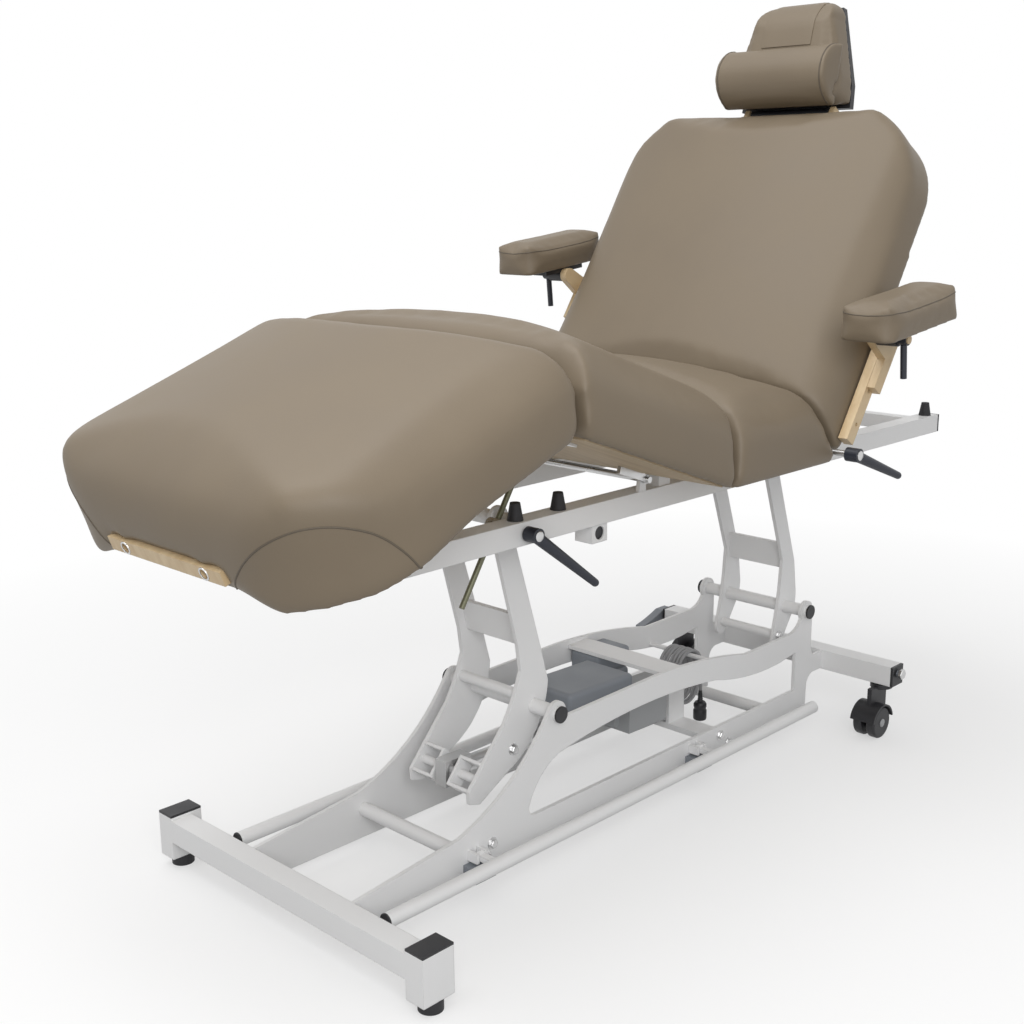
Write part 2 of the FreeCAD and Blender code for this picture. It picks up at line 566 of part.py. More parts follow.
for y in KNUCKLES:
    thigh_shape = thigh_shape.cut(knuckle_room(-thigh_long, knee_z, 1, y))
formed("thigh_board", thigh_board, thigh_frame)
formed("thigh_cushion", thigh_shape, thigh_frame)
leaves = []
for sign in (-1, 1):
    y_low, y_high = sorted((sign * (size("rail_outer") + 2), sign * (size("rail_outer") + 10)))
    leaf = bar(Vector(0, y_low, 0), Vector(0, y_high, 0), drop - 0.4)
    leaf = leaf.fuse(block(-80, 0, y_low, y_high, -5, drop - 0.1).cut(block(-6, 1, y_low, y_high, 0, drop)))
    leaves.append(leaf.cut(bar(Vector(0, y_low - 1, 0), Vector(0, y_high + 1, 0), pin_r + gap)))
for y in KNUCKLES:
    for shift in (-38, 20):
        hub = bar(Vector(-thigh_long, y + shift, knee_z), Vector(-thigh_long, y + shift + 18, knee_z), 8)
        web = side_plate([(-thigh_long - 1, knee_z), (-thigh_long + 7, knee_z),
                          (-thigh_long + undercut + 7, drop - 0.1), (-thigh_long + undercut + 80, drop - 0.1),
                          (-thigh_long + undercut + 80, drop - 5), (-thigh_long + undercut - 1, drop - 5)],
                         y + shift, y + shift + 18)
        hole = bar(Vector(-thigh_long, y + shift - 1, knee_z), Vector(-thigh_long, y + shift + 19, knee_z), 4)
        leaves.append(hub.fuse(web).cut(hole))
    leaves.append(bar(Vector(-thigh_long, y - 38, knee_z), Vector(-thigh_long, y + 38, knee_z), 4))
fork_x = -size("prop_bracket_from_hinge")
prop_y = size("prop_y")
for shift in (-12, 8):
    leaves.append(block(fork_x - 20, fork_x + 20, prop_y + shift, prop_y + shift + 4, -26, drop))
formed("thigh_hinges", Part.makeCompound(leaves), thigh_frame)

# Leg section: knee axis at the origin, foot towards -X
knee_point = thigh_frame.multVec(Vector(-thigh_long, 0, knee_z))
leg_frame = turned(knee_point.x, knee_point.z, -size("leg_tilt"))
leg_long = size("leg_long")
foot_in = size("foot_undercut")
rear = round_over(-1.5, knee_rise, 0, cushion_top, end_round, 1)
front = round_over(-leg_long, 0, 0, cushion_top, size("foot_round"), -1)
leg_profile = [
    (-leg_long + foot_in, 0), (-1.5 - undercut, 0), (-1.5, knee_rise), rear[0], (rear[1], rear[2]),
    front[2], (front[1], front[0]), ((-leg_long + foot_in * 0.2, front[0][1] * 0.4), (-leg_long + foot_in, 0))]
foot_corner = size("foot_corner")
leg_shape = cushion(leg_profile, (wide, wide), (-leg_long, -1.5), thick, (foot_corner, 0))
leg_board = block(-leg_long + 24, -50, -wide + 22, wide - 22, 0, board)
corner = [e for e in leg_board.Edges
          if abs(e.Vertexes[0].Z - e.Vertexes[1].Z) > 1 and e.Vertexes[0].X < -leg_long + 30]
leg_board = leg_board.makeFillet(foot_corner - 30, corner)
strip_half = size("strip_half")
strip_low = 17
strip_in = -leg_long + size("strip_thick")
strip = block(-leg_long - 1, strip_in, -strip_half, strip_half, strip_low, strip_low + size("strip_high"))
leg_shape = leg_shape.cut(leg_board).cut(strip)
mouth = strip_low + size("strip_high") / 2
bore_r = size("cradle_bore_radius")
for y in (-size("cradle_bore_half"), size("cradle_bore_half")):
    strip = strip.cut(bar(Vector(-leg_long - 2, y, mouth), Vector(strip_in + 1, y, mouth), bore_r))
    leg_shape = leg_shape.cut(bar(Vector(-leg_long, y, mouth), Vector(-leg_long + 70, y, mouth), bore_r))
sink = Vector(0, 0, -knee_rise)
for y in KNUCKLES:
    leg_shape = leg_shape.cut(knuckle_room(0, knee_rise, -1, y))
for shape in (leg_shape, leg_board, strip):
    shape.translate(sink)
formed("leg_board", leg_board, leg_frame)
formed("leg_cushion", leg_shape, leg_frame)
formed("leg_end_strip", strip, leg_frame)
leaves = []
for y in KNUCKLES:
    hub = bar(Vector(0, y - 17, 0), Vector(0, y + 17, 0), 8)
    web = side_plate([(-7, 0), (1, 0), (-undercut + 1, -knee_rise - 5), (-undercut - 80, -knee_rise - 5),
                      (-undercut - 80, -knee_rise - 0.1), (-undercut - 7, -knee_rise - 0.1)], y - 17, y + 17)
    leaves.append(hub.fuse(web).cut(bar(Vector(0, y - 18, 0), Vector(0, y + 18, 0), 4 + gap)))
formed("leg_hinges", Part.makeCompound(leaves), leg_frame)

# Back section: hinge axis at the origin, head towards +X
back_frame = turned(back_x, back_z, -size("back_tilt"))
back_long = size("back_long")
back_thick = size("back_thick")
back_half = size("back_half")
lean_back = 0.625
back_low = 9
back_top = back_thick + size("crown") + 1
rear = round_over(back_long, 0, 0, back_top, size("top_round"), 1)
front = round_over(back_low, seat_rise, lean_back, back_top, end_round, -1)
back_profile = [
    (back_low, 0), (back_long, 0), rear[0], (rear[1], rear[2]), front[2], (front[1], front[0]),
    (back_low, seat_rise)]
top_half = size("back_top_half")
top_corner = size("top_corner")
back_shape = cushion(back_profile, (back_half, top_half), (back_low, back_long), back_thick, (0, top_corner))
back_board = block(back_low + 12, back_long - 20, -top_half + 16, top_half - 16, 0, board)
corner = [e for e in back_board.Edges
          if abs(e.Vertexes[0].Z - e.Vertexes[1].Z) > 1 and e.Vertexes[0].X > back_long - 30]
back_board = back_board.makeFillet(top_corner - 20, corner)
dowel_z = size("dowel_high")
back_shape = back_shape.cut(back_board)
for y in (-size("dowel_half"), size("dowel_half")):
    back_shape = back_shape.cut(bar(Vector(back_long - 150, y, dowel_z), Vector(back_long + 5, y, dowel_z),
                                    size("dowel_radius") + gap))
settle = Vector(0, 0, -seat_rise)
back_shape.translate(settle)
back_board.translate(settle)
formed("back_board", back_board, back_frame)
formed("back_cushion", back_shape, back_frame)
leaves = []
for sign in (-1, 1):
    y_low, y_high = sorted((sign * (size("rail_outer") + 2), sign * (size("rail_outer") + 10)))
    leaf = side_plate([(-8, 0), (-8, -seat_rise - 8), (90, -seat_rise - 8), (90, -seat_rise - 0.1),
                       (8, -seat_rise - 0.1), (8, 0)], y_low, y_high)
    leaf = leaf.fuse(bar(Vector(0, y_low, 0), Vector(0, y_high, 0), 8.4))
    leaves.append(leaf.cut(bar(Vector(0, y_low - 1, 0), Vector(0, y_high + 1, 0), pin_r + gap)))
formed("back_hinges", Part.makeCompound(leaves), back_frame)
guides = []
guide_wide = size("guide_wide")
guide_out = back_half + size("guide_thick")
for sign, spot in ((-1, size("pad_near_along")), (1, size("pad_far_along"))):
    y_low, y_high = sorted((sign * back_half, sign * guide_out))
    guide_end = spot + size("guide_past_pad")
    guide = block(24, guide_end, y_low, y_high, -seat_rise + 6, -seat_rise + 6 + guide_wide)
    for hole_at in range(60, int(guide_end) - 15, 70):
        middle = -seat_rise + 6 + guide_wide / 2
        guide = guide.cut(bar(Vector(hole_at, y_low - 1, middle), Vector(hole_at, y_high + 1, middle), 4))
    guides.append(guide)
formed("armrest_guides", Part.makeCompound(guides), back_frame)

# Armrests: a wooden carrier on each guide, a tilting pad and a clamp lever below it
stem_z = 60
stem_r = 8
for name, sign, spot in (("right", -1, size("pad_near_along")), ("left", 1, size("pad_far_along"))):
    face = guide_out + 0.4
    carrier_out = face + size("carrier_thick")
    y_low, y_high = sorted((sign * face, sign * carrier_out))
    post = side_plate([(spot - 80, -seat_rise + 6), (spot + 24, -seat_rise + 6), (spot + 24, -seat_rise + 32),
                       (spot + 20, -seat_rise + 32), (spot + 16, stem_z),
                       ((spot, stem_z + 16), (spot - 16, stem_z)), (spot - 20, -seat_rise + 32),
                       (spot - 80, -seat_rise + 32)], y_low, y_high)
    y_low, y_high = sorted((sign * carrier_out, sign * (carrier_out + 62)))
    stem = bar(Vector(spot, y_low, stem_z), Vector(spot, y_high, stem_z), stem_r)
    formed("armrest_carrier_" + name, post.fuse(stem), back_frame)
    centre = back_frame.multVec(Vector(spot, 0, stem_z))
    pad_frame = turned(centre.x, centre.z, -size("pad_tilt"))
    pad_long = size("pad_long")
    pad_thick = size("pad_thick")
    pad_in = face + 1
    pad_mid = sign * (pad_in + size("pad_wide") / 2)
    hub_in = carrier_out + 0.4
    y_low, y_high = sorted((sign * hub_in, sign * (hub_in + 40)))
    hub = bar(Vector(0, y_low, 0), Vector(0, y_high, 0), 14)
    saddle = block(-60, 60, y_low, y_high, 8, 18)
    saddle = hub.fuse(saddle).cut(bar(Vector(0, y_low - 1, 0), Vector(0, y_high + 1, 0), stem_r + gap))
    formed("armrest_saddle_" + name, saddle, pad_frame)
    half = size("pad_wide") / 2
    plan = [(-pad_long / 2, -half + 34), ((-pad_long / 2 + 10, -half + 10), (-pad_long / 2 + 34, -half)),
            (pad_long / 2 - 34, -half), ((pad_long / 2 - 10, -half + 10), (pad_long / 2, -half + 34)),
            (pad_long / 2, half - 34), ((pad_long / 2 - 10, half - 10), (pad_long / 2 - 34, half)),
            (-pad_long / 2 + 34, half), ((-pad_long / 2 + 10, half - 10), (-pad_long / 2, half - 34))]
    slab = closed_face(plan, lambda x, y: Vector(x, y, 18)).extrude(Vector(0, 0, pad_thick + 6))
    cross = [(-half + 5, 18), (half - 5, 18), ((half, 36), (half - 2, pad_thick + 3)),
             ((half - 7, pad_thick + 13), (half - 20, pad_thick + 16)),
             ((0, pad_thick + 20), (-half + 20, pad_thick + 16)),
             ((-half + 7, pad_thick + 13), (-half + 2, pad_thick + 3)), ((-half, 36), (-half + 5, 18))]
    roll = closed_face(cross, lambda y, z: Vector(-pad_long / 2, y, z)).extrude(Vector(pad_long, 0, 0))
    reach = pad_long / 2
    length = [(-reach + 5, 18), (reach - 5, 18), ((reach, 36), (reach - 2, pad_thick + 3)),
              ((reach - 7, pad_thick + 13), (reach - 20, pad_thick + 18)), (-reach + 20, pad_thick + 18),
              ((-reach + 7, pad_thick + 13), (-reach + 2, pad_thick + 3)), ((-reach, 36), (-reach + 5, 18))]
    ends = side_plate(length, -half - 1, half + 1)
    pad = slab.common(roll).common(ends)
    pad.translate(Vector(size("pad_ahead"), pad_mid, 0))
    formed("armrest_pad_" + name, pad, pad_frame)
    lever_in = hub_in + 41
    y_low, y_high = sorted((sign * lever_in, sign * (lever_in + 18)))
    handle = bar(Vector(spot, y_low, stem_z), Vector(spot, y_high, stem_z), 11)
    handle = handle.cut(bar(Vector(spot, y_low - 1, stem_z), Vector(spot, y_high + 1, stem_z), stem_r + gap))
    grip_dir = back_frame.Rotation.inverted().multVec(Vector(0.1, 0, -1))
    grip_start = Vector(spot, sign * (lever_in + 9), stem_z) + grip_dir * 10
    grip = bar(grip_start, grip_start + grip_dir * 62, 6)
    formed("armrest_lever_" + name, handle.fuse(grip), back_frame)

# Headrest: dowels sliding in the back, a tilting base, a pillow and a neck bolster
dowel_y = size("dowel_half")
dowel_low = dowel_z - seat_rise
slider = []
for y in (-dowel_y, dowel_y):
    slider.append(bar(Vector(back_long - 140, y, dowel_low), Vector(back_long + 8, y, dowel_low),
                      size("dowel_radius")))
yoke = block(back_long + 1, back_long + 14, -dowel_y - 14, dowel_y + 14, dowel_low - 14, dowel_low + 22)
ears = []
for sign in (-1, 1):
    y_low, y_high = sorted((sign * (dowel_y + 2), sign * (dowel_y + 14)))
    ears.append(block(back_long + 14, back_long + 34, y_low, y_high, dowel_low - 8, dowel_low + 16))
tilt_x = back_long + 26
tilt_z = dowel_low + 4
tilt_pin = bar(Vector(tilt_x, -dowel_y - 14, tilt_z), Vector(tilt_x, dowel_y + 14, tilt_z), 5)
carriage = yoke.fuse(slider + ears + [tilt_pin])
formed("headrest_dowels", carriage, back_frame)
tilt_point = back_frame.multVec(Vector(tilt_x, 0, tilt_z))
head_frame = turned(tilt_point.x, tilt_point.z, size("headrest_lean"))
high = size("headrest_high")
half = size("headrest_wide") / 2
top_half = size("headrest_top_wide") / 2
head_deep = size("headrest_thick")
foot = size("headrest_foot")
shell = [(-half, foot + 2), (half, foot + 2), (half - 4, 60), (top_half, high), (-top_half, high),
         (-half + 4, 60)]
base_plate = closed_face(shell, lambda y, z: Vector(10, y, z)).extrude(Vector(14, 0, 0))
sleeve = bar(Vector(0, -dowel_y + 2, 0), Vector(0, dowel_y - 2, 0), 11)
web = block(4, 24, -dowel_y + 2, dowel_y - 2, 0, 40)
base_plate = base_plate.fuse([sleeve, web])
base_plate = base_plate.cut(bar(Vector(0, -dowel_y - 1, 0), Vector(0, dowel_y + 1, 0), 5 + gap))
formed("headrest_base", base_plate, head_frame)
pillow_plan = [(-half, foot + 20), ((-half + 8, foot + 4), (-half + 28, foot)), (half - 28, foot),
               ((half - 8, foot + 4), (half, foot + 20)), (half - 4, 66),
               (top_half + 12, high - 30), ((top_half + 2, high - 6), (top_half - 22, high + 6)),
               (-top_half + 22, high + 6), ((-top_half - 2, high - 6), (-top_half - 12, high - 30)),
               (-half + 4, 66)]
pillow = closed_face(pillow_plan, lambda y, z: Vector(10, y, z)).extrude(Vector(-head_deep, 0, 0))
pillow_side = [(10, foot), (10, high + 6), (-6, high + 6), ((-34, high - 6), (-head_deep + 26, high - 44)),
               (-head_deep + 16, foot)]
pillow = pillow.common(side_plate(pillow_side, -half - 1, half + 1))
sleeve_room = bar(Vector(0, -half - 2, 0), Vector(0, half + 2, 0), 19)
pillow = pillow.cut(sleeve_room).cut(base_plate)
formed("headrest_pad", pillow, head_frame)
bolster_r = size("bolster_radius")
roll_x = -head_deep + 30
roll_foot = foot - 8
roll_top = roll_foot + 2 * bolster_r
roll = [(roll_x, roll_foot), ((roll_x - bolster_r, roll_foot + bolster_r), (roll_x, roll_top))]
arc = path(roll, lambda x, z: Vector(x, -half, z))
flat = Part.makeLine(Vector(roll_x, -half, roll_top), Vector(roll_x, -half, roll_foot))
bolster = Part.Face(Part.Wire(arc + [flat])).extrude(Vector(0, 2 * half, 0))
formed("headrest_bolster", bolster.cut(pillow), head_frame)

# Knee prop: a rod sliding in a clamp block that turns in the right-hand rail
prop_x = along(size("prop_at"))
prop_z = size("prop_high")
fork_point = thigh_frame.multVec(Vector(fork_x, 0, -drop))
prop_run = Vector(fork_point.x - prop_x, 0, fork_point.z - prop_z)
prop_dir = Vector(prop_run).normalize()
prop_centre = Vector(prop_x, prop_y, prop_z)
prop_r = size("prop_radius")
rod = bar(prop_centre - prop_dir * 150, prop_centre + prop_run, prop_r)
eye = bar(Vector(fork_point.x, prop_y - 6, fork_point.z), Vector(fork_point.x, prop_y + 6, fork_point.z), 9)
formed("prop_rod", rod.fuse(eye))
clamp = bar(Vector(prop_x, prop_y - 12, prop_z), Vector(prop_x, prop_y + 12, prop_z), 14)
stud = bar(Vector(prop_x, prop_y - 12, prop_z), Vector(prop_x, -size("rail_outer") - 23, prop_z),
           size("stud_radius"))
clamp = clamp.fuse(stud).cut(bar(prop_centre - prop_dir * 30, prop_centre + prop_dir * 30, prop_r + 0.1))
formed("prop_clamp", clamp)


def clamp_lever(label, x, z, y_near, radius, run, length):
    """Lever with a round hub at y_near and a grip that stands off outwards and gets slimmer."""
    hub = bar(Vector(x, y_near, z), Vector(x, y_near - 26, z), 13)
    start = Vector(x, y_near - 16, z) + run * 10
    end = Vector(x, y_near - 40, z) + run * length
    aim = end - start
    tip_r = 7
    grip = Part.makeCone(10.5, tip_r, aim.Length, start, aim)
    tip = Part.makeSphere(tip_r, end)
    lever = hub.fuse([grip, tip]).cut(bar(Vector(x, y_near + 1, z), Vector(x, y_near - 20, z), radius + gap))
    formed(label, lever)


clamp_lever("knee_clamp_lever", prop_x, prop_z, -size("rail_outer") - 4, size("stud_radius"),
            Vector(0.77, 0, -0.64), size("knee_lever_long"))
clamp_lever("back_clamp_lever", back_x, back_z, -lever_face, pin_r, Vector(0.91, 0, -0.41),
            size("back_lever_long"))

# Casters: a swivelling fork with a hood and a pair of wheels each side, trailing opposite ways
bar_mid = along(size("rear_bar_at") + size("rear_bar_side") / 2)
bar_low = size("rear_bar_low")
wheel_r = size("wheel_radius")
wheel_w = size("wheel_wide")
for name, sign, trail in (("right", -1, -size("caster_trail")), ("left", 1, size("caster_trail"))):
    y = sign * size("caster_half")
    x = bar_mid + trail
    disc = Part.makeCylinder(24, 10, Vector(bar_mid, y, bar_low - 12.4))
    web = block(min(bar_mid, x) - 14, max(bar_mid, x) + 14, y - 5, y + 5, wheel_r - 12, bar_low - 6)
    hood = bar(Vector(x, y - wheel_w - 8, wheel_r), Vector(x, y + wheel_w + 8, wheel_r), wheel_r + 7)
    hood = hood.cut(bar(Vector(x, y - wheel_w - 9, wheel_r), Vector(x, y + wheel_w + 9, wheel_r), wheel_r + 3))
    hood = hood.common(block(x - 60, x + 60, y - 60, y + 60, wheel_r + 8, 140))
    fork = disc.fuse([web, hood])
    fork = fork.cut(bar(Vector(x, y - 6, wheel_r), Vector(x, y + 6, wheel_r), 5 + gap))
    stem = Part.makeCylinder(size("stem_radius"), 22, Vector(bar_mid, y, bar_low - 12.4))
    formed("caster_fork_" + name, fork.fuse(stem).removeSplitter())
    wheels = [bar(Vector(x, y - 5, wheel_r), Vector(x, y + 5, wheel_r), 5)]
    for side in (-1, 1):
        y_low, y_high = sorted((y + side * 5.4, y + side * (5.4 + wheel_w)))
        wheel = bar(Vector(x, y_low, wheel_r), Vector(x, y_high, wheel_r), wheel_r)
        wheels.append(wheel.makeFillet(5, [e for e in wheel.Edges if e.Length > 100]))
        wheels.append(bar(Vector(x, y + side * 5, wheel_r), Vector(x, y + side * 5.4, wheel_r), 5))
    formed("caster_wheels_" + name, wheels[0].fuse(wheels[1:]))

# Brake shaft through the head-end crossbar, with its pedal at the far end
hex_z = bar_low + size("rear_bar_side") / 2 + 5
hex_r = size("hex_radius")
corners = [Vector(bar_mid + hex_r * math.cos(math.radians(60 * n)), -size("rear_bar_half") - 12,
                  hex_z + hex_r * math.sin(math.radians(60 * n))) for n in range(7)]
shaft = Part.Face(Part.makePolygon(corners)).extrude(Vector(0, 2 * size("rear_bar_half") + 36, 0))
pedal_y = size("rear_bar_half") + 8
pedal = side_plate([(bar_mid + 14, hex_z + 12), (bar_mid - 20, hex_z + 12),
                    ((bar_mid - 58, hex_z - 2), (bar_mid - 98, hex_z - 12)), (bar_mid - 98, hex_z - 22),
                    ((bar_mid - 52, hex_z - 17), (bar_mid - 10, hex_z - 13)), (bar_mid + 14, hex_z - 12)],
                   pedal_y, pedal_y + 22)
formed("brake_pedal", shaft.fuse(pedal))

# Lifting actuator: gearbox and tube on the tail pin, a cover over the motor, and the push rod
act_run = Vector(pin_x - tail_x, 0, pin_z - tail_z)
act_angle = math.degrees(math.atan2(act_run.z, -act_run.x))
act_frame = turned(tail_x, tail_z, act_angle)
act_long = act_run.Length
tail_eye = bar(Vector(0, -23, 0), Vector(0, 23, 0), 18)
gear = block(-190, -14, -23, 23, -34, 40)
side_gear = block(-180, -60, -52, 40, -40, 30)
tube = bar(Vector(-190, 0, 0), Vector(-400, 0, 0), size("tube_radius"))
housing = tail_eye.fuse([gear, side_gear, tube])
rod_r = size("rod_radius")
housing = housing.cut(bar(Vector(-138, 0, 0), Vector(-401, 0, 0), rod_r + gap))
housing = housing.cut(bar(Vector(0, -24, 0), Vector(0, 24, 0), 8 + gap))
formed("actuator_housing", housing.removeSplitter(), act_frame)
cover = block(-372, -182, -62, 62, 44, 92)
cover = cover.makeFillet(10, [e for e in cover.Edges])
saddle = block(-330, -200, -18, 18, size("tube_radius") - 3, 46)
saddle = saddle.cut(bar(Vector(-190, 0, 0), Vector(-400, 0, 0), size("tube_radius")))
formed("actuator_cover", cover.fuse(saddle), act_frame)
play = size("rod_play")
pin_radius = size("rod_pin_radius")
push = bar(Vector(-285, 0, 0), Vector(-act_long + 34, 0, 0), rod_r)
reach = pin_radius + play
head = block(-act_long - reach - 8, -act_long + 36, -14, 14, -reach - 7, reach + 7)
head = head.cut(block(-act_long - reach, -act_long + reach, -15, 15, -reach, reach))
formed("actuator_rod", push.fuse(head), act_frame)

# Control box under the bridge bar
box_top = size("arch_top") - 18
box_rear = along(955)
formed("control_box", block(along(850), box_rear, 48, 124, box_top - 144, box_top))

# Mains lead: one cord from the box, wound in a hank over its rest, down to the plug
cord_r = size("cord_radius")
hank_x = along(size("hank_at"))
hank_z = size("hank_high")
turn = size("hank_radius")
bottom = hank_z - size("hank_straight")
pitch = size("hank_pitch")
loops = int(size("hank_loops"))
bend = 36
cord_y = size("hank_y")
cord_low = hank_z - 4 - bend
slant = bend * math.sqrt(0.5)
rise_x = hank_x - turn
edges = [Part.makeLine(Vector(box_rear, cord_y, cord_low), Vector(rise_x - bend, cord_y, cord_low)),
         Part.Arc(Vector(rise_x - bend, cord_y, cord_low),
                  Vector(rise_x - bend + slant, cord_y, cord_low + bend - slant),
                  Vector(rise_x, cord_y, cord_low + bend)).toShape(),
         Part.makeLine(Vector(rise_x, cord_y, cord_low + bend), Vector(rise_x, cord_y, hank_z))]
for loop in range(loops):
    y = cord_y - loop * pitch
    edges.append(Part.Arc(Vector(hank_x - turn, y, hank_z), Vector(hank_x, y, hank_z + turn),
                          Vector(hank_x + turn, y, hank_z)).toShape())
    if loop == loops - 1:
        break
    edges.append(Part.makeLine(Vector(hank_x + turn, y, hank_z), Vector(hank_x + turn, y, bottom)))
    half_turn = math.hypot(turn, pitch / 2)
    edges.append(Part.Arc(Vector(hank_x + turn, y, bottom), Vector(hank_x, y - pitch / 2, bottom - half_turn),
                          Vector(hank_x - turn, y - pitch, bottom)).toShape())
    edges.append(Part.makeLine(Vector(hank_x - turn, y - pitch, bottom),
                               Vector(hank_x - turn, y - pitch, hank_z)))
plug_y = cord_y - (loops - 1) * pitch
plug_top = 22 + size("plug_high")
edges.append(Part.makeLine(Vector(hank_x + turn, plug_y, hank_z), Vector(hank_x + turn, plug_y, plug_top)))
line = Part.Wire(edges)
ring = Part.Wire(Part.makeCircle(cord_r, Vector(box_rear, cord_y, cord_low), X_AXIS))
hank = line.makePipeShell([ring], True, False)
fullness = hank.Volume / (math.pi * cord_r ** 2 * line.Length)
self_gap = pitch * math.cos(math.atan(pitch / (2 * turn))) - 2 * cord_r
print("cord length", round(line.Length), "volume ratio", round(fullness, 4))
print("least self gap", round(self_gap, 2))
formed("cord_hank", hank)
plug = Part.makeCylinder(15, size("plug_high"), Vector(hank_x + turn, plug_y, 22))
formed("mains_plug", plug.makeFillet(5, plug.Edges[:1]))

os.makedirs("parts", exist_ok=True)
doc.recompute()
for item in doc.Objects:
    if "Invalid" in item.State or "Error" in item.State:
        raise RuntimeError("not built: " + item.Label)
for item in PIECES:
    if item.Shape.isNull() or not item.Shape.isValid():
        raise RuntimeError("bad shape: " + item.Label)
for item in PIECES:
    item.Shape.exportStep("parts/" + item.Label + ".step")
    print(item.Label, len(item.Shape.Solids), round(item.Shape.Volume / 1000), item.Shape.BoundBox)
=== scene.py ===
# %% [markdown]
# # An electric massage table
# The table has a white welded base, a parallel lift, four upholstered sections, two armrests and a headrest.
# The rigid parts come from the CAD frame. This notebook dresses them: soft cushions, finishes, small fasteners and
# light.
# Loading the frame first keeps every piece on its true place, so nothing here has to be moved by eye.

# %% Load the frame and keep its box
import math

import bmesh
import bpy
import numpy as np
from mathutils import Matrix, Vector
from mathutils.bvhtree import BVHTree


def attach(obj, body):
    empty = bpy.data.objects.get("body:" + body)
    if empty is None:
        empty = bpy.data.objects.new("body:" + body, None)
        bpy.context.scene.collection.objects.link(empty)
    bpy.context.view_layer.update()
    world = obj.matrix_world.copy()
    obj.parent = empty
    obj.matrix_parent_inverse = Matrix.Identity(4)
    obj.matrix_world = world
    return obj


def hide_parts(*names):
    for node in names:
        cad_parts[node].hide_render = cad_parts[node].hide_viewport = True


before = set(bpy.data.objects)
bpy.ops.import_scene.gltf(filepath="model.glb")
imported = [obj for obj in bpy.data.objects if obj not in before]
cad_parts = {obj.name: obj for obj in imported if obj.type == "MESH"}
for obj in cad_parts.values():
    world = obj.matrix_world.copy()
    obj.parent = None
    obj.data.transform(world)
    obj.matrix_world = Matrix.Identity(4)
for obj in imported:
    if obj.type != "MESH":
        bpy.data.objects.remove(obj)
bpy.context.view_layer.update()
scene = bpy.context.scene
scene.view_settings.view_transform = "Standard"
MM = 0.001

# %% [markdown]
# ## The viewpoint
# The table is seen from above the foot end, a little to its right.
# A camera can be aimed with a constraint, but three measured directions say the same with no extra object.
# The columns of the matrix are the picture's right, its up and the way back towards the viewer.

# %% Camera
view_right = Vector((0.6970, -0.7170, -0.0086))
view_down = Vector((-0.1744, -0.1579, -0.9720))
view_ahead = Vector((0.6956, 0.6789, -0.2351))
lens = bpy.data.cameras.new("viewpoint")
view_from = Vector((-1.9936, -1.6840, 1.1944))
lens.lens = 48.16
lens.sensor_width = 36
viewpoint = bpy.data.objects.new("viewpoint", lens)
scene.collection.objects.link(viewpoint)
turn = Matrix((view_right, -view_down, -view_ahead)).transposed().to_4x4()
viewpoint.matrix_world = Matrix.Translation(view_from) @ turn
scene.camera = viewpoint
print("camera height:", round(viewpoint.location.z, 3))

# %% [markdown]
# ## Shared effects
# The finishes share a few effects: a pressed grain, softened corners, worn edges and wood figure.
# Each is one node group with named sockets, so that a finish only states its own values.
# Groups give out colours, masks and heights. The shaders stay in the materials.


# %% A small helper for node groups
def new_effect(name, inputs, outputs):
    """Empty shader node group with its sockets."""
    effect = bpy.data.node_groups.new(name, "ShaderNodeTree")
    for label, kind, value in inputs:
        socket = effect.interface.new_socket(label, in_out="INPUT", socket_type="NodeSocket" + kind)
        socket.default_value = value
    for label, kind in outputs:
        effect.interface.new_socket(label, in_out="OUTPUT", socket_type="NodeSocket" + kind)
    return effect, effect.nodes.new("NodeGroupInput"), effect.nodes.new("NodeGroupOutput")


def sum_node(tree, operation, first, second):
    """Math node on two sockets or numbers."""
    node = tree.nodes.new("ShaderNodeMath")
    node.operation = operation
    for socket, value in zip(node.inputs, (first, second)):
        if isinstance(value, (int, float)):
            socket.default_value = value
        else:
            tree.links.new(value, socket)
    return node.outputs[0]


def colour_mix(tree, share, first, second):
    """Mix of two colours by a share."""
    node = tree.nodes.new("ShaderNodeMix")
    node.data_type = "RGBA"
    for socket, value in ((node.inputs[0], share), (node.inputs[6], first), (node.inputs[7], second)):
        if isinstance(value, bpy.types.NodeSocket):
            tree.links.new(value, socket)
        elif isinstance(value, (int, float)):
            socket.default_value = value
        else:
            socket.default_value = (*value, 1)
    return node.outputs[2]


def spread(tree, value, low, high, to_low, to_high):
    """Value stretched from one range to another, and clamped."""
    node = tree.nodes.new("ShaderNodeMapRange")
    tree.links.new(value, node.inputs["Value"])
    for label, number in zip(("From Min", "From Max", "To Min", "To Max"), (low, high, to_low, to_high)):
        if isinstance(number, (int, float)):
            node.inputs[label].default_value = number
        else:
            tree.links.new(number, node.inputs[label])
    return node.outputs["Result"]


def noise_at(tree, scale, detail=3.0, stretch=None):
    """Noise in the piece's own coordinates, so that it moves with the piece."""
    place = tree.nodes.new("ShaderNodeTexCoord").outputs["Object"]
    if stretch:
        squeeze = tree.nodes.new("ShaderNodeMapping")
        squeeze.inputs["Scale"].default_value = stretch
        tree.links.new(place, squeeze.inputs["Vector"])
        place = squeeze.outputs["Vector"]
    noise = tree.nodes.new("ShaderNodeTexNoise")
    tree.links.new(place, noise.inputs["Vector"])
    noise.inputs["Detail"].default_value = detail
    if isinstance(scale, (int, float)):
        noise.inputs["Scale"].default_value = scale
    else:
        tree.links.new(scale, noise.inputs["Scale"])
    return noise.outputs["Fac"]


print("helpers for node groups ready")

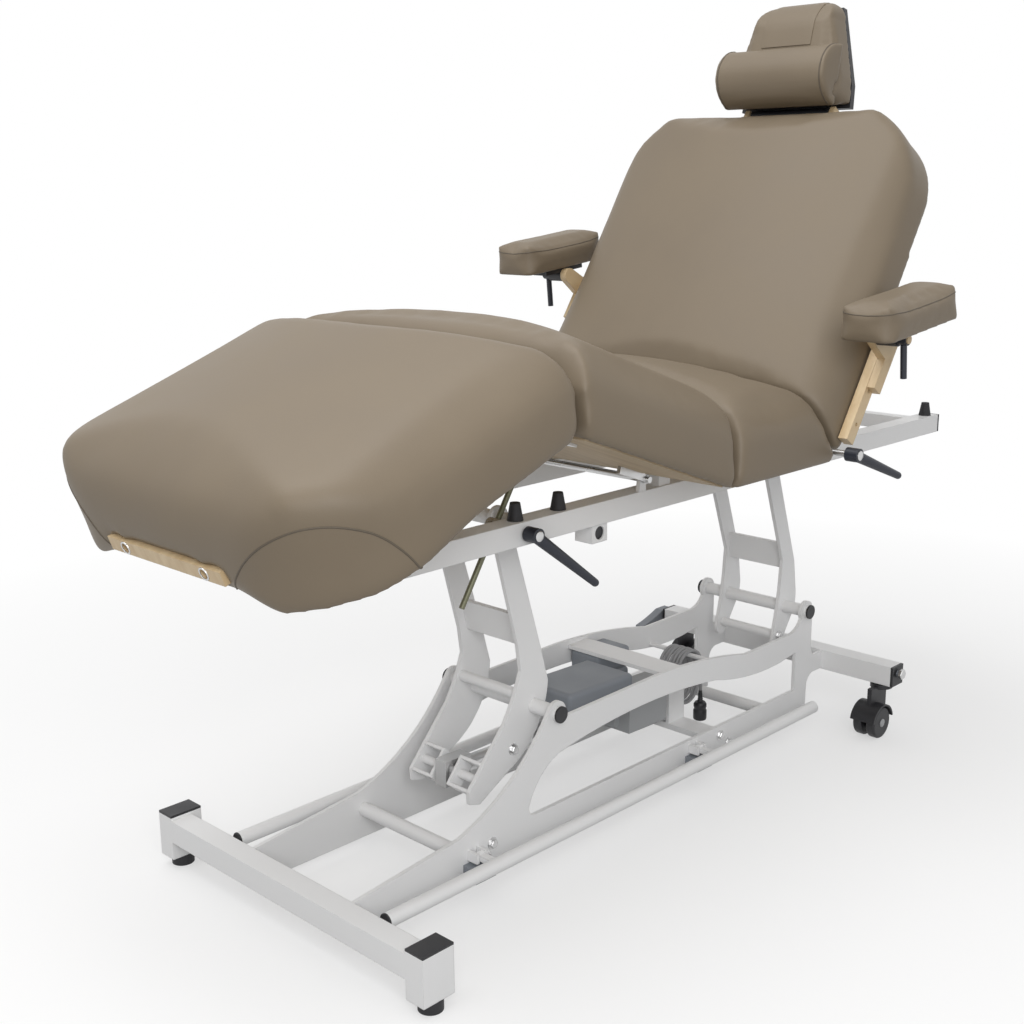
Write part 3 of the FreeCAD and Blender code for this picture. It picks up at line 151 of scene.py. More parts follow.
# %% Pressed grain: the pebbled face of vinyl and moulded plastic
pressed_grain, grain_in, grain_out = new_effect(
    "pressed_grain", [("Scale", "Float", 900.0)], [("Height", "Float"), ("Mottle", "Float")])
cells = pressed_grain.nodes.new("ShaderNodeTexVoronoi")
cells.feature = "SMOOTH_F1"
own_place = pressed_grain.nodes.new("ShaderNodeTexCoord").outputs["Object"]
pressed_grain.links.new(own_place, cells.inputs["Vector"])
pressed_grain.links.new(grain_in.outputs["Scale"], cells.inputs["Scale"])
fine = noise_at(pressed_grain, sum_node(pressed_grain, "MULTIPLY", grain_in.outputs["Scale"], 0.4))
coarse = sum_node(pressed_grain, "MULTIPLY", cells.outputs["Distance"], 0.7)
pebbles = sum_node(pressed_grain, "ADD", coarse, fine)
pressed_grain.links.new(pebbles, grain_out.inputs["Height"])
pressed_grain.links.new(noise_at(pressed_grain, 7.0, 5.0), grain_out.inputs["Mottle"])
print("effect:", pressed_grain.name)

# %% Soft corners: folded sheet and cast edges are never knife sharp
soft_corners, corner_in, corner_out = new_effect(
    "soft_corners", [("Radius", "Float", 0.002)], [("Normal", "Vector"), ("Edge", "Float")])
rounding = soft_corners.nodes.new("ShaderNodeBevel")
rounding.samples = 4
soft_corners.links.new(corner_in.outputs["Radius"], rounding.inputs["Radius"])
flat_face = soft_corners.nodes.new("ShaderNodeNewGeometry").outputs["Normal"]
facing = soft_corners.nodes.new("ShaderNodeVectorMath")
facing.operation = "DOT_PRODUCT"
soft_corners.links.new(rounding.outputs[0], facing.inputs[0])
soft_corners.links.new(flat_face, facing.inputs[1])
edge_mask = spread(soft_corners, facing.outputs["Value"], 1.0, 0.86, 0.0, 1.0)
soft_corners.links.new(rounding.outputs[0], corner_out.inputs["Normal"])
soft_corners.links.new(edge_mask, corner_out.inputs["Edge"])
print("effect:", soft_corners.name)

# %% Worn coat: edges rub thin and flat areas carry faint handling marks
worn_coat, worn_in, worn_out = new_effect(
    "worn_coat",
    [("Coat", "Color", (0.8, 0.8, 0.8, 1)), ("Under", "Color", (0.5, 0.5, 0.5, 1)), ("Edge", "Float", 0.0),
     ("Wear", "Float", 0.4), ("Roughness", "Float", 0.4)],
    [("Color", "Color"), ("Roughness", "Float")])
patches = spread(worn_coat, noise_at(worn_coat, 38.0, 6.0), 0.48, 0.66, 0.0, 1.0)
rubbed = sum_node(worn_coat, "MULTIPLY", sum_node(worn_coat, "MULTIPLY", patches, worn_in.outputs["Edge"]),
                  worn_in.outputs["Wear"])
clouds = spread(worn_coat, noise_at(worn_coat, 5.0, 4.0), 0.3, 0.7, 0.0, 0.06)
aged = colour_mix(worn_coat, clouds, worn_in.outputs["Coat"], worn_in.outputs["Under"])
worn_coat.links.new(colour_mix(worn_coat, rubbed, aged, worn_in.outputs["Under"]), worn_out.inputs["Color"])
smears = spread(worn_coat, noise_at(worn_coat, 16.0, 5.0), 0.3, 0.7, -0.05, 0.07)
smeared = sum_node(worn_coat, "ADD", worn_in.outputs["Roughness"], smears)
worn_coat.links.new(smeared, worn_out.inputs["Roughness"])
print("effect:", worn_coat.name)

# %% Wood figure: long pale streaks with darker growth lines
wood_figure, wood_in, wood_out = new_effect(
    "wood_figure", [("Pale", "Color", (0.7, 0.55, 0.35, 1)), ("Dark", "Color", (0.5, 0.36, 0.2, 1)),
                    ("Lines", "Float", 60.0)], [("Color", "Color"), ("Height", "Float")])
streaks = noise_at(wood_figure, wood_in.outputs["Lines"], 6.0, (0.06, 1.0, 0.35))
broad = noise_at(wood_figure, 9.0, 3.0, (0.3, 1.0, 1.0))
figure = sum_node(wood_figure, "ADD", sum_node(wood_figure, "MULTIPLY", streaks, 0.7),
                  sum_node(wood_figure, "MULTIPLY", broad, 0.3))
shade = spread(wood_figure, figure, 0.34, 0.66, 0.0, 1.0)
wood_figure.links.new(colour_mix(wood_figure, shade, wood_in.outputs["Pale"], wood_in.outputs["Dark"]),
                      wood_out.inputs["Color"])
wood_figure.links.new(figure, wood_out.inputs["Height"])
print("effect:", wood_figure.name)

# %% [markdown]
# ## Finishes
# One finish stands for each material slot: vinyl, powder coat, birch, plywood, plastics, rubber and steel.
# A flat colour would look like a toy, so every finish varies its colour a little and has a fine relief.
# Constants such as specular level sit on the shader itself.


# %% Tools that build a finish
def blank_finish(name, roughness):
    """Material with a Principled shader."""
    finish = bpy.data.materials.new(name)
    finish.use_nodes = True
    shader = finish.node_tree.nodes["Principled BSDF"]
    shader.inputs["Roughness"].default_value = roughness
    return finish, finish.node_tree, shader


def place_effect(tree, effect, **values):
    """Group node with its own values."""
    node = tree.nodes.new("ShaderNodeGroup")
    node.node_tree = effect
    for label, value in values.items():
        if isinstance(value, bpy.types.NodeSocket):
            tree.links.new(value, node.inputs[label])
        elif isinstance(value, (int, float)):
            node.inputs[label].default_value = value
        else:
            node.inputs[label].default_value = (*value, 1)
    return node


def add_relief(tree, shader, height, depth, strength, under=None):
    """Bump that feeds the shader's normal."""
    relief = tree.nodes.new("ShaderNodeBump")
    relief.inputs["Distance"].default_value = depth
    relief.inputs["Strength"].default_value = strength
    tree.links.new(height, relief.inputs["Height"])
    if under is not None:
        tree.links.new(under, relief.inputs["Normal"])
    tree.links.new(relief.outputs["Normal"], shader.inputs["Normal"])


def coated_finish(name, coat, under, roughness, grain, corner=0.002, wear=0.5, metallic=0.0, depth=0.00012):
    """Painted, moulded or plated surface with rounded edges, wear and a fine skin."""
    finish, tree, shader = blank_finish(name, roughness)
    shader.inputs["Metallic"].default_value = metallic
    corners = place_effect(tree, soft_corners, Radius=corner)
    worn = place_effect(tree, worn_coat, Coat=coat, Under=under, Wear=wear, Roughness=roughness,
                        Edge=corners.outputs["Edge"])
    skin = place_effect(tree, pressed_grain, Scale=grain)
    tree.links.new(worn.outputs["Color"], shader.inputs["Base Color"])
    tree.links.new(worn.outputs["Roughness"], shader.inputs["Roughness"])
    add_relief(tree, shader, skin.outputs["Height"], depth, 0.25, corners.outputs["Normal"])
    return finish


def wooden_finish(name, pale, dark, lines, roughness):
    """Clear-lacquered wood."""
    finish, tree, shader = blank_finish(name, roughness)
    corners = place_effect(tree, soft_corners, Radius=0.0016)
    figured = place_effect(tree, wood_figure, Pale=pale, Dark=dark, Lines=lines)
    tree.links.new(figured.outputs["Color"], shader.inputs["Base Color"])
    add_relief(tree, shader, figured.outputs["Height"], 0.0002, 0.3, corners.outputs["Normal"])
    return finish


print("finish builders ready")


# %% Upholstery vinyl: taupe, satin, finely pebbled
def vinyl_finish(name, deep, light, roughness):
    """Satin vinyl that drifts between two tones."""
    finish, tree, shader = blank_finish(name, roughness)
    shader.inputs["Specular IOR Level"].default_value = 0.42
    leather = place_effect(tree, pressed_grain, Scale=780.0)
    tone = spread(tree, leather.outputs["Mottle"], 0.3, 0.7, 0.0, 1.0)
    tree.links.new(colour_mix(tree, tone, deep, light), shader.inputs["Base Color"])
    tree.links.new(spread(tree, leather.outputs["Mottle"], 0.3, 0.7, roughness - 0.03, roughness + 0.05),
                   shader.inputs["Roughness"])
    add_relief(tree, shader, leather.outputs["Height"], 0.0004, 0.3)
    return finish


taupe_vinyl = vinyl_finish("taupe_vinyl", (0.188, 0.148, 0.102), (0.204, 0.162, 0.112), 0.5)
# Darker vinyl for the welts: its darkness is painted shade along the seams.
seam_vinyl = vinyl_finish("seam_vinyl", (0.105, 0.086, 0.062), (0.120, 0.098, 0.072), 0.6)
print("vinyl:", taupe_vinyl.name, seam_vinyl.name)

# %% The other finishes, by material slot
finishes = {
    "vinyl": taupe_vinyl,
    "white": coated_finish("white_powder_coat", (0.87, 0.87, 0.872), (0.66, 0.66, 0.65), 0.34, 1400.0),
    "birch": wooden_finish("pale_birch", (0.76, 0.60, 0.38), (0.62, 0.45, 0.25), 70.0, 0.42),
    "ply": wooden_finish("bare_plywood", (0.56, 0.44, 0.29), (0.43, 0.32, 0.19), 45.0, 0.62),
    "black": coated_finish("black_plastic", (0.014, 0.014, 0.017), (0.06, 0.06, 0.06), 0.45, 900.0),
    "rubber": coated_finish("black_rubber", (0.017, 0.017, 0.02), (0.05, 0.05, 0.05), 0.68, 700.0),
    "navy": coated_finish("blue_black_handle", (0.011, 0.014, 0.024), (0.07, 0.08, 0.10), 0.4, 1000.0),
    "steel": coated_finish("bright_steel", (0.60, 0.60, 0.60), (0.42, 0.42, 0.42), 0.3, 600.0,
                           0.0008, 0.3, 1.0),
    "olive": coated_finish("oiled_dark_steel", (0.17, 0.17, 0.11), (0.30, 0.29, 0.22), 0.42, 600.0,
                           0.001, 0.4, 0.6),
    "grey": coated_finish("grey_casting", (0.40, 0.41, 0.42), (0.52, 0.52, 0.52), 0.48, 420.0,
                          0.003, 0.5, 0.0, 0.0004),
    "cover": coated_finish("blue_grey_cover", (0.235, 0.255, 0.285), (0.36, 0.38, 0.40), 0.5, 800.0, 0.004),
    "cord": coated_finish("grey_sheath", (0.33, 0.33, 0.34), (0.42, 0.42, 0.42), 0.55, 1200.0, 0.001, 0.3),
    "brake": coated_finish("grey_pedal", (0.21, 0.225, 0.25), (0.36, 0.37, 0.38), 0.5, 800.0, 0.003)}
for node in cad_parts.values():
    for place in node.material_slots:
        place.material = finishes[place.material.name.split(".")[0]]
print("finishes:", sorted(finishes))

# %% [markdown]
# ## The mains lead
# Spare lead is wound into a loose upright hank, which hangs over a rest behind the control box.
# It could be a swept tube with arcs, but one smooth spline bends like a real sheath.
# Twelve control points describe one turn. Each turn is a little larger or smaller than the last, as by hand.

# %% Cord on one spline
lead_exit = (134, 70, 111)
plug_at = (346, 19.6, 64)
hank_x, hank_y, hank_z = 304, 70, 151
sheath_radius = 3.5
lead_out = [lead_exit, (168, 70, 111), (240.9, 70, 111), (262, 70, 132.1)]
one_turn = [(-42, 13.6, 0.0), (-26, 35.7, 0.0), (0, 44.2, 0.0), (26, 35.7, 0.0), (42, 13.6, 0.0),
            (42, -18, 0.05), (42, -49.6, 0.2), (26, -71.7, 0.35), (0, -80.2, 0.5), (-26, -71.7, 0.65),
            (-42, -49.6, 0.8), (-42, -18, 0.95)]
turn_sizes = [1.0, 0.985, 1.015, 0.99, 1.02, 0.995, 1.0]
pitch = -8.4
route = list(lead_out)
for lap, grown in enumerate(turn_sizes):
    last = lap == len(turn_sizes) - 1
    for across, up, share in one_turn[:6] if last else one_turn:
        laps = lap + (0 if last else share)
        route.append((hank_x + across * grown, hank_y + pitch * laps, hank_z + up * grown))
route += [(346, 19.6, 100), plug_at]
sheath_curve = bpy.data.curves.new("mains_lead", "CURVE")
sheath_curve.dimensions = "3D"
sheath_curve.bevel_depth = sheath_radius * MM
sheath_curve.bevel_resolution = 4
sheath_curve.resolution_u = 8
sheath_curve.use_fill_caps = True
line = sheath_curve.splines.new("NURBS")
line.points.add(len(route) - 1)
for point, spot in zip(line.points, route):
    point.co = (*[c * MM for c in spot], 1)
line.order_u = 3
line.use_endpoint_u = True
mains_lead = bpy.data.objects.new("mains_lead", sheath_curve)
scene.collection.objects.link(mains_lead)
sheath_curve.materials.append(finishes["cord"])
print("cord control points:", len(route))

# %% [markdown]
# ## Turned pieces
# The plug, the strain reliefs, plugs in tube ends, bushes and bolts are all round or six-sided.
# A lathe profile turned about an axis makes every one of them, with rounded rims instead of a bare cylinder.


# %% Lathe and placing helpers
def add_piece(name, mesh, finish, body):
    """Object for a mesh that rides on a body."""
    piece = bpy.data.objects.new(name, mesh)
    scene.collection.objects.link(piece)
    mesh.materials.append(finish)
    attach(piece, body)
    return piece


def turned_mesh(name, parts, at, axis, sides=28):
    """Closed lathe forms in one mesh. Each part is (profile of (radius, height) in mm, sides or None)."""
    work = bmesh.new()
    aim = Vector(axis).to_track_quat("Z", "Y").to_matrix().to_4x4()
    seat = Matrix.Translation(Vector(at) * MM) @ aim
    for profile, count in parts:
        count = count or sides
        looped = profile[0] == profile[-1]
        rings = []
        angles = [step * math.tau / count for step in range(count)]
        for radius, height in profile[:-1] if looped else profile:
            wide = radius * MM
            ring = [Vector((wide * math.cos(angle), wide * math.sin(angle), height * MM)) for angle in angles]
            rings.append([work.verts.new(seat @ spot) for spot in ring])
        for low, high in zip(rings, rings[1:] + rings[:1] if looped else rings[1:]):
            for step in range(count):
                after = (step + 1) % count
                work.faces.new((low[step], low[after], high[after], high[step]))
        if not looped:
            work.faces.new(list(reversed(rings[0])))
            work.faces.new(rings[-1])
    bmesh.ops.recalc_face_normals(work, faces=work.faces)
    mesh = bpy.data.meshes.new(name)
    work.to_mesh(mesh)
    work.free()
    mesh.shade_smooth()
    mesh.set_sharp_from_angle(angle=math.radians(38))
    return mesh


print("lathe ready")

# %% Plug and strain relief, and the facts of the lead
plug_body = [(0.5, -42), (12, -42), (14.2, -40.5), (15, -37), (15, -20), (13.2, -17), (13.2, -14),
             (14.4, -11), (14.4, -5), (11, 0), (8, 0.2)]
neck = [(6.4, -1), (6.4, 3), (5.2, 5), (6.0, 7), (4.9, 10), (5.6, 12), (4.6, 15), (5.1, 17), (4.2, 21),
        (3.7, 27)]
plug_mesh = turned_mesh("moulded_plug", [(plug_body, 32), (neck, 24)], plug_at, (0, 0, 1))
mains_plug = add_piece("moulded_plug", plug_mesh, finishes["black"], "base")
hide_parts("mains_plug")
relief_rings = [(8.5, -1), (8.5, 3), (6.6, 4), (6.6, 8), (5.6, 9.5), (6.2, 11), (5.3, 14), (5.8, 16),
                (4.9, 19), (5.3, 21), (4.4, 25), (3.8, 32)]
relief_mesh = turned_mesh("lead_strain_relief", [(relief_rings, 24)], lead_exit, (1, 0, 0))
lead_relief = add_piece("lead_strain_relief", relief_mesh, finishes["black"], "base")
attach(mains_lead, "base")
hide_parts("cord_hank")
print("plug and strain relief made")

# %% [markdown]
# ## Upholstery
# Each cushion is foam under tight vinyl. The CAD solid gives its place and outline, with hard lines between faces.
# A copy is remeshed into small even faces, set slightly smaller and blown up as cloth with a little pressure.
# The movement of every point is capped, most on the sides, and the face that lies on its board hardly moves.


# %% Copy a cushion with even faces
def points_of(mesh):
    """Vertex places as an array."""
    places = np.zeros(len(mesh.vertices) * 3)
    mesh.vertices.foreach_get("co", places)
    return places.reshape(-1, 3)


def normals_of(mesh):
    """Vertex normals as an array."""
    ways = np.zeros(len(mesh.vertices) * 3, dtype=np.float32)
    mesh.vertex_normals.foreach_get("vector", ways)
    return ways.reshape(-1, 3).astype(float)


def settle(pad):
    """Replace a piece's mesh by what its modifiers make of it."""
    graph = bpy.context.evaluated_depsgraph_get()
    made = bpy.data.meshes.new_from_object(pad.evaluated_get(graph))
    before = pad.data
    pad.modifiers.clear()
    pad.data = made
    bpy.data.meshes.remove(before)


def even_copy(node, name, grain_size):
    """Copy of a CAD cushion, remeshed into small even faces."""
    pad = bpy.data.objects.new(name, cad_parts[node].data.copy())
    pad.data.materials.clear()
    scene.collection.objects.link(pad)
    work = bmesh.new()
    work.from_mesh(pad.data)
    bmesh.ops.remove_doubles(work, verts=work.verts, dist=1e-5)
    work.to_mesh(pad.data)
    work.free()
    even = pad.modifiers.new("even_faces", "REMESH")
    even.mode = "VOXEL"
    even.voxel_size = grain_size
    even.use_smooth_shade = True
    settle(pad)
    return pad


def near_rods(places, rods):
    """Distance of each point to the nearest of some straight rods, less the rod's radius."""
    least = np.full(len(places), 1.0)
    for start, end, radius in rods:
        start, run = np.array(start) * MM, (np.array(end) - np.array(start)) * MM
        share = np.clip(((places - start) @ run) / (run @ run), 0, 1)
        least = np.minimum(least, np.linalg.norm(places - start - share[:, None] * run, axis=1) - radius * MM)
    return least


def softness(places, up, rods, board):
    """Share of free skin at each point, 0 at board, rods and hinges, and the same share without the board."""
    rod_fade = 0.02
    board_fade = 0.03
    height = places @ np.array(up)
    clear = np.clip(near_rods(places, rods) / rod_fade, 0, 1)
    return clear * np.clip((height - height.min() - board) / board_fade, 0, 1), clear


def relaxed(mesh, places, share, rounds):
    """Points drawn towards the middle of their neighbours, by a share."""
    ends = np.zeros(len(mesh.edges) * 2, dtype=np.int64)
    mesh.edges.foreach_get("vertices", ends)
    first, second = ends.reshape(-1, 2).T
    count = np.bincount(np.concatenate((first, second)), minlength=len(places))[:, None]
    for _ in range(rounds):
        total = np.zeros_like(places)
        np.add.at(total, first, places[second])
        np.add.at(total, second, places[first])
        places = places + 0.5 * share[:, None] * (total / count - places)
    return places


print("cushion tools ready")

# %% The cushions, their bodies and what they must leave clear
flat_up = (0, 0, 1)
thigh_up = (0.344, 0, 0.939)
leg_up = (-0.358, 0, 0.934)
back_up = (-0.829, 0, 0.559)
pad_up = (-0.111, 0, 0.994)
head_front = (-0.978, 0, 0.208)
knuckles = [((-501, side - 44, 896), (-501, side + 44, 896), 48) for side in (-250, 250)]
sockets = [((-983, side, 668), (-915, side, 695), 11) for side in (-103, 103)]
dowels = [((495, side, 1176), (582, side, 1305), 14) for side in (-97, 97)]
# Piece, node, body, upward way, rods to clear, face size, board edge, relaxing rounds and swell at the crown
cushions = [
    ("seat_pad", "seat_cushion", "upper_frame", flat_up, [], 0.006, 0.018, 12, 0.013),
    ("thigh_pad", "thigh_cushion", "thigh", thigh_up, knuckles, 0.006, 0.018, 16, 0.014),
    ("leg_pad", "leg_cushion", "leg", leg_up, knuckles + sockets, 0.006, 0.018, 36, 0.017),
    ("back_pad", "back_cushion", "back", back_up, dowels, 0.006, 0.018, 12, 0.010),
    ("arm_pad_right", "armrest_pad_right", "armrest_right", pad_up, [], 0.004, 0.004, 5, 0.006),
    ("arm_pad_left", "armrest_pad_left", "armrest_left", pad_up, [], 0.004, 0.004, 5, 0.006),
    ("head_pillow", "headrest_pad", "headrest", head_front, [], 0.004, 0.018, 5, 0.006),
    ("neck_bolster", "headrest_bolster", "headrest", head_front, [], 0.004, 0.002, 4, 0.006)]
pads = {}
for name, node, _, _, _, grain_size, *_ in cushions:
    pads[name] = even_copy(node, name, grain_size)
    print(name, "points:", len(pads[name].data.vertices))

# %% Blow the cushions up as cloth
tuck = 0.003
last_frame = 20
starts = {}
limits = {}
for name, _, _, up, rods, _, board, _, swell in cushions:
    mesh = pads[name].data
    places = points_of(mesh)
    free, _ = softness(places, up, rods, board)
    skin_ways = normals_of(mesh)
    starts[name] = places - skin_ways * tuck * free[:, None]
    upward = np.clip(skin_ways @ np.array(up), 0, 1)
    limits[name] = tuck + (swell - tuck) * upward
    mesh.vertices.foreach_set("co", starts[name].ravel())
    stuffing = pads[name].modifiers.new("stuffing", "CLOTH")
    stuffing.settings.quality = 3
    stuffing.settings.use_pressure = True
    stuffing.settings.uniform_pressure_force = 4
    stuffing.settings.effector_weights.gravity = 0
    stuffing.collision_settings.use_collision = False
    stuffing.point_cache.frame_start = 1
    stuffing.point_cache.frame_end = last_frame
for step in range(1, last_frame + 1):
    scene.frame_set(step)
print("frames stepped:", scene.frame_current)


# %% Cap the swelling, relax the skin and set the cushions down
def hung_corners(places, up):
    """Foot corners whose vinyl is drawn round under the board, so that they hang a little lower."""
    corner_drop = 0.022
    height = places @ np.array(up)
    low = np.clip(1 - (height - height.min()) / 0.1, 0, 1)
    to_foot = np.clip((-0.72 - places[:, 0]) / 0.16, 0, 1)
    to_side = np.clip((np.abs(places[:, 1]) - 0.15) / 0.1, 0, 1)
    share = low * to_foot * (3 * to_side ** 2 - 2 * to_side ** 3)
    return places - np.array(up) * corner_drop * share[:, None]


under_share = 0.6
for name, node, body, up, rods, _, board, rounds, _ in cushions:
    pad = pads[name]
    settle(pad)
    mesh = pad.data
    free, clear = softness(starts[name], up, rods, board)
    move = points_of(mesh) - starts[name]
    far = np.linalg.norm(move, axis=1)
    move *= (np.minimum(far, limits[name]) / np.maximum(far, 1e-9) * free)[:, None]
    places = relaxed(mesh, starts[name] + move, np.maximum(free, under_share * clear), rounds)
    if name == "leg_pad":
        places = hung_corners(places, up)
    mesh.vertices.foreach_set("co", places.ravel())
    mesh.update()
    mesh.shade_smooth()
    mesh.materials.clear()
    mesh.materials.append(taupe_vinyl)
    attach(pad, body)
    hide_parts(node)
    print(name, "largest swelling in mm:", round(1000 * float(np.linalg.norm(move, axis=1).max()), 1))
scene.frame_set(1)

# %% [markdown]
# ## Seams
# The vinyl is cut in panels. An arched seam closes each rounded corner at the foot end, and fine seams run round
# the armrests and the bolster's ends. A remeshed skin can't hold so thin a line, so each seam is a raised welt in a
# darker vinyl, whose darkness is painted shade along the seam.
# Points of a rough line are dropped on the nearest skin, which makes the welt follow every swell of the pad.


# %% Lay a welt on a cushion
def skin_of(pad_name):
    """Search tree over a finished cushion."""
    mesh = pads[pad_name].data
    corners = [vertex.co.copy() for vertex in mesh.vertices]
    return BVHTree.FromPolygons(corners, [list(face.vertices) for face in mesh.polygons])


def eased(rough, closed):
    """Rough points made finer by cutting every corner twice."""
    line = [Vector(spot) for spot in rough]
    for _ in range(2):
        onward = line[1:] + line[:1] if closed else line[1:]
        finer = [here.lerp(there, share) for here, there in zip(line, onward) for share in (0.25, 0.75)]
        line = finer if closed else [line[0], *finer, line[-1]]
    return line


def welt(name, pad_name, body, rough, closed=False, thickness=0.0016):
    """Slim raised seam along rough points in mm, dropped on the cushion."""
    sunk = 0.1
    skin = skin_of(pad_name)
    line = eased(rough, closed)
    thread = bpy.data.curves.new(name, "CURVE")
    thread.dimensions = "3D"
    thread.bevel_depth = thickness
    thread.bevel_resolution = 2
    thread.resolution_u = 6
    thread.use_fill_caps = True
    run = thread.splines.new("NURBS")
    run.points.add(len(line) - 1)
    for point, spot in zip(run.points, line):
        place, outward, _, _ = skin.find_nearest(spot * MM)
        point.co = (*(place - outward * thickness * sunk), 1)
    run.order_u = 3
    run.use_endpoint_u = not closed
    run.use_cyclic_u = closed
    seam = bpy.data.objects.new(name, thread)
    scene.collection.objects.link(seam)
    # The welt's darker vinyl paints the shade of the seam's fold.
    thread.materials.append(seam_vinyl)
    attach(seam, body)


print("welt tool ready")

# %% Arched seams on the foot corners
corner_arch = [(-972, 150, 640), (-984, 170, 668), (-995, 206, 703), (-993, 249, 735), (-975, 292, 758),
               (-949, 321, 765), (-918, 344, 761), (-882, 360, 748), (-848, 369, 721), (-829, 372, 700),
               (-815, 374, 682)]
for side, sign in (("right", -1), ("left", 1)):
    welt("foot_seam_" + side, "leg_pad", "leg", [(x, sign * y, z) for x, y, z in corner_arch])
print("foot seams: 2")


# %% Seams round the armrests and at the bolster's ends
def blunt(value):
    """Cosine or sine pushed outwards, for a loop with square shoulders."""
    return math.copysign(abs(value) ** 0.45, value)


pad_tilt = math.radians(6.4)
pad_middle_y = 452.4
pad_ahead = 2
seam_reach = 130
seam_half = 56
seam_high = 68
loop_points = 40
for side, sign, middle in (("right", -1, (277.8, 909.3)), ("left", 1, (329.8, 986.4))):
    loop = []
    for step in range(loop_points):
        turn_angle = step * math.tau / loop_points
        ahead = pad_ahead + seam_reach * blunt(math.cos(turn_angle))
        loop.append((middle[0] + ahead * math.cos(pad_tilt) - seam_high * math.sin(pad_tilt),
                     sign * pad_middle_y + seam_half * blunt(math.sin(turn_angle)),
                     middle[1] + ahead * math.sin(pad_tilt) + seam_high * math.cos(pad_tilt)))
    welt("arm_seam_" + side, "arm_pad_" + side, "armrest_" + side, loop, True, 0.0011)
head_lean = math.radians(12)
head_place = (590.2, 1324.4)


def on_head(ahead, across, up):
    """Place in mm from the headrest's own directions."""
    return (head_place[0] + ahead * math.cos(head_lean) + up * math.sin(head_lean), across,
            head_place[1] - ahead * math.sin(head_lean) + up * math.cos(head_lean))


bolster_ahead, bolster_up = -48, 64
bolster_radius = 62
bolster_seam_y = 124
for side, sign in (("right", -1), ("left", 1)):
    hoop = [on_head(bolster_ahead - bolster_radius * math.cos(a), sign * bolster_seam_y,
                    bolster_up + bolster_radius * math.sin(a))
            for a in [math.radians(-78 + 12 * step) for step in range(14)]]
    welt("bolster_seam_" + side, "neck_bolster", "headrest", hoop)
print("armrest and bolster seams: 4")

# %% [markdown]
# ## The strap on the pillow
# A broad flap of vinyl runs over the top of the pillow and down to the bolster, which hangs on it.
# It could be cut from the pillow's own mesh, but a separate thin band keeps a clean edge.
# Rows of points are dropped on the pillow, then lifted by the thickness of the material.

# %% Strap over the pillow
pillow_skin = skin_of("head_pillow")
strap_half = 60
strap_steps = 12
strap_lift = 0.0024
strap_sunk = 0.002
strap_rows = [(4, 226), (-14, 226), (-30, 219), (-40, 206), (-47, 192), (-52, 176), (-55, 160), (-58, 144),
              (-61, 128)]
strap_work = bmesh.new()
grid = []
for ahead, up in strap_rows:
    row = []
    for step in range(strap_steps + 1):
        across = strap_half * (2 * step / strap_steps - 1)
        place, outward, _, _ = pillow_skin.find_nearest(Vector(on_head(ahead, across, up)) * MM)
        rim_share = 0.6 if step in (0, strap_steps) else 1.0
        row.append((strap_work.verts.new(place + outward * strap_lift * rim_share),
                    strap_work.verts.new(place - outward * strap_sunk)))
    grid.append(row)
for upper, lower in zip(grid, grid[1:]):
    for left, right in zip(range(strap_steps), range(1, strap_steps + 1)):
        strap_work.faces.new((upper[left][0], upper[right][0], lower[right][0], lower[left][0]))
        strap_work.faces.new((upper[right][1], upper[left][1], lower[left][1], lower[right][1]))
border = [row[0] for row in grid] + grid[-1][1:]
border += [row[-1] for row in reversed(grid[:-1])] + list(reversed(grid[0][1:-1]))
for here, after in zip(border, border[1:] + border[:1]):
    strap_work.faces.new((here[0], here[1], after[1], after[0]))
bmesh.ops.recalc_face_normals(strap_work, faces=strap_work.faces)
strap_mesh = bpy.data.meshes.new("pillow_strap")
strap_work.to_mesh(strap_mesh)
strap_work.free()
strap_mesh.shade_smooth()
strap_mesh.set_sharp_from_angle(angle=math.radians(50))
add_piece("pillow_strap", strap_mesh, taupe_vinyl, "headrest")
print("strap faces:", len(strap_mesh.polygons))

# %% [markdown]
# ## Bolts, plugs and caps
# Hexagon bolts with washers hold the arms and the sill, plugs close the foot bars, and caps finish the levers.
# Each is a lathe profile, six-sided for a bolt head, so one list of places makes them all.

# %% Bolts and plugs by place
washer = ([(11, -1), (11, 1.2), (10.4, 1.8), (7, 1.8)], 28)
hex_head = ([(8.2, 1.6), (8.2, 6.4), (7.2, 7.4), (3, 7.4)], 6)
bolt = [washer, hex_head]
tube_plug = [([(11, -6), (11, 0), (13, 0), (13, 1.6), (12, 2.8), (4, 3.2)], 28)]
button = [([(9, -1), (9, 1.4), (7.6, 2.4), (2, 2.8)], 28)]
bore_plug = [([(11.7, -8), (11.7, -2.5), (10.5, -2.2), (9.8, -3.4), (3, -3.6)], 28)]
axle_cap = [([(9, -1), (9, 1.2), (7, 2.2), (2, 2.4)], 24)]
bore_bush = [([(8.2, -3), (8.2, 0.9), (9.0, 1.3), (10.6, 1.1), (11.0, 0), (11.0, -3), (8.2, -3)], 32)]
shaft_nut = [([(12, 0), (12, 6), (10.5, 7.5), (4, 7.5)], 6)]
near, far_side = (0, -1, 0), (0, 1, 0)
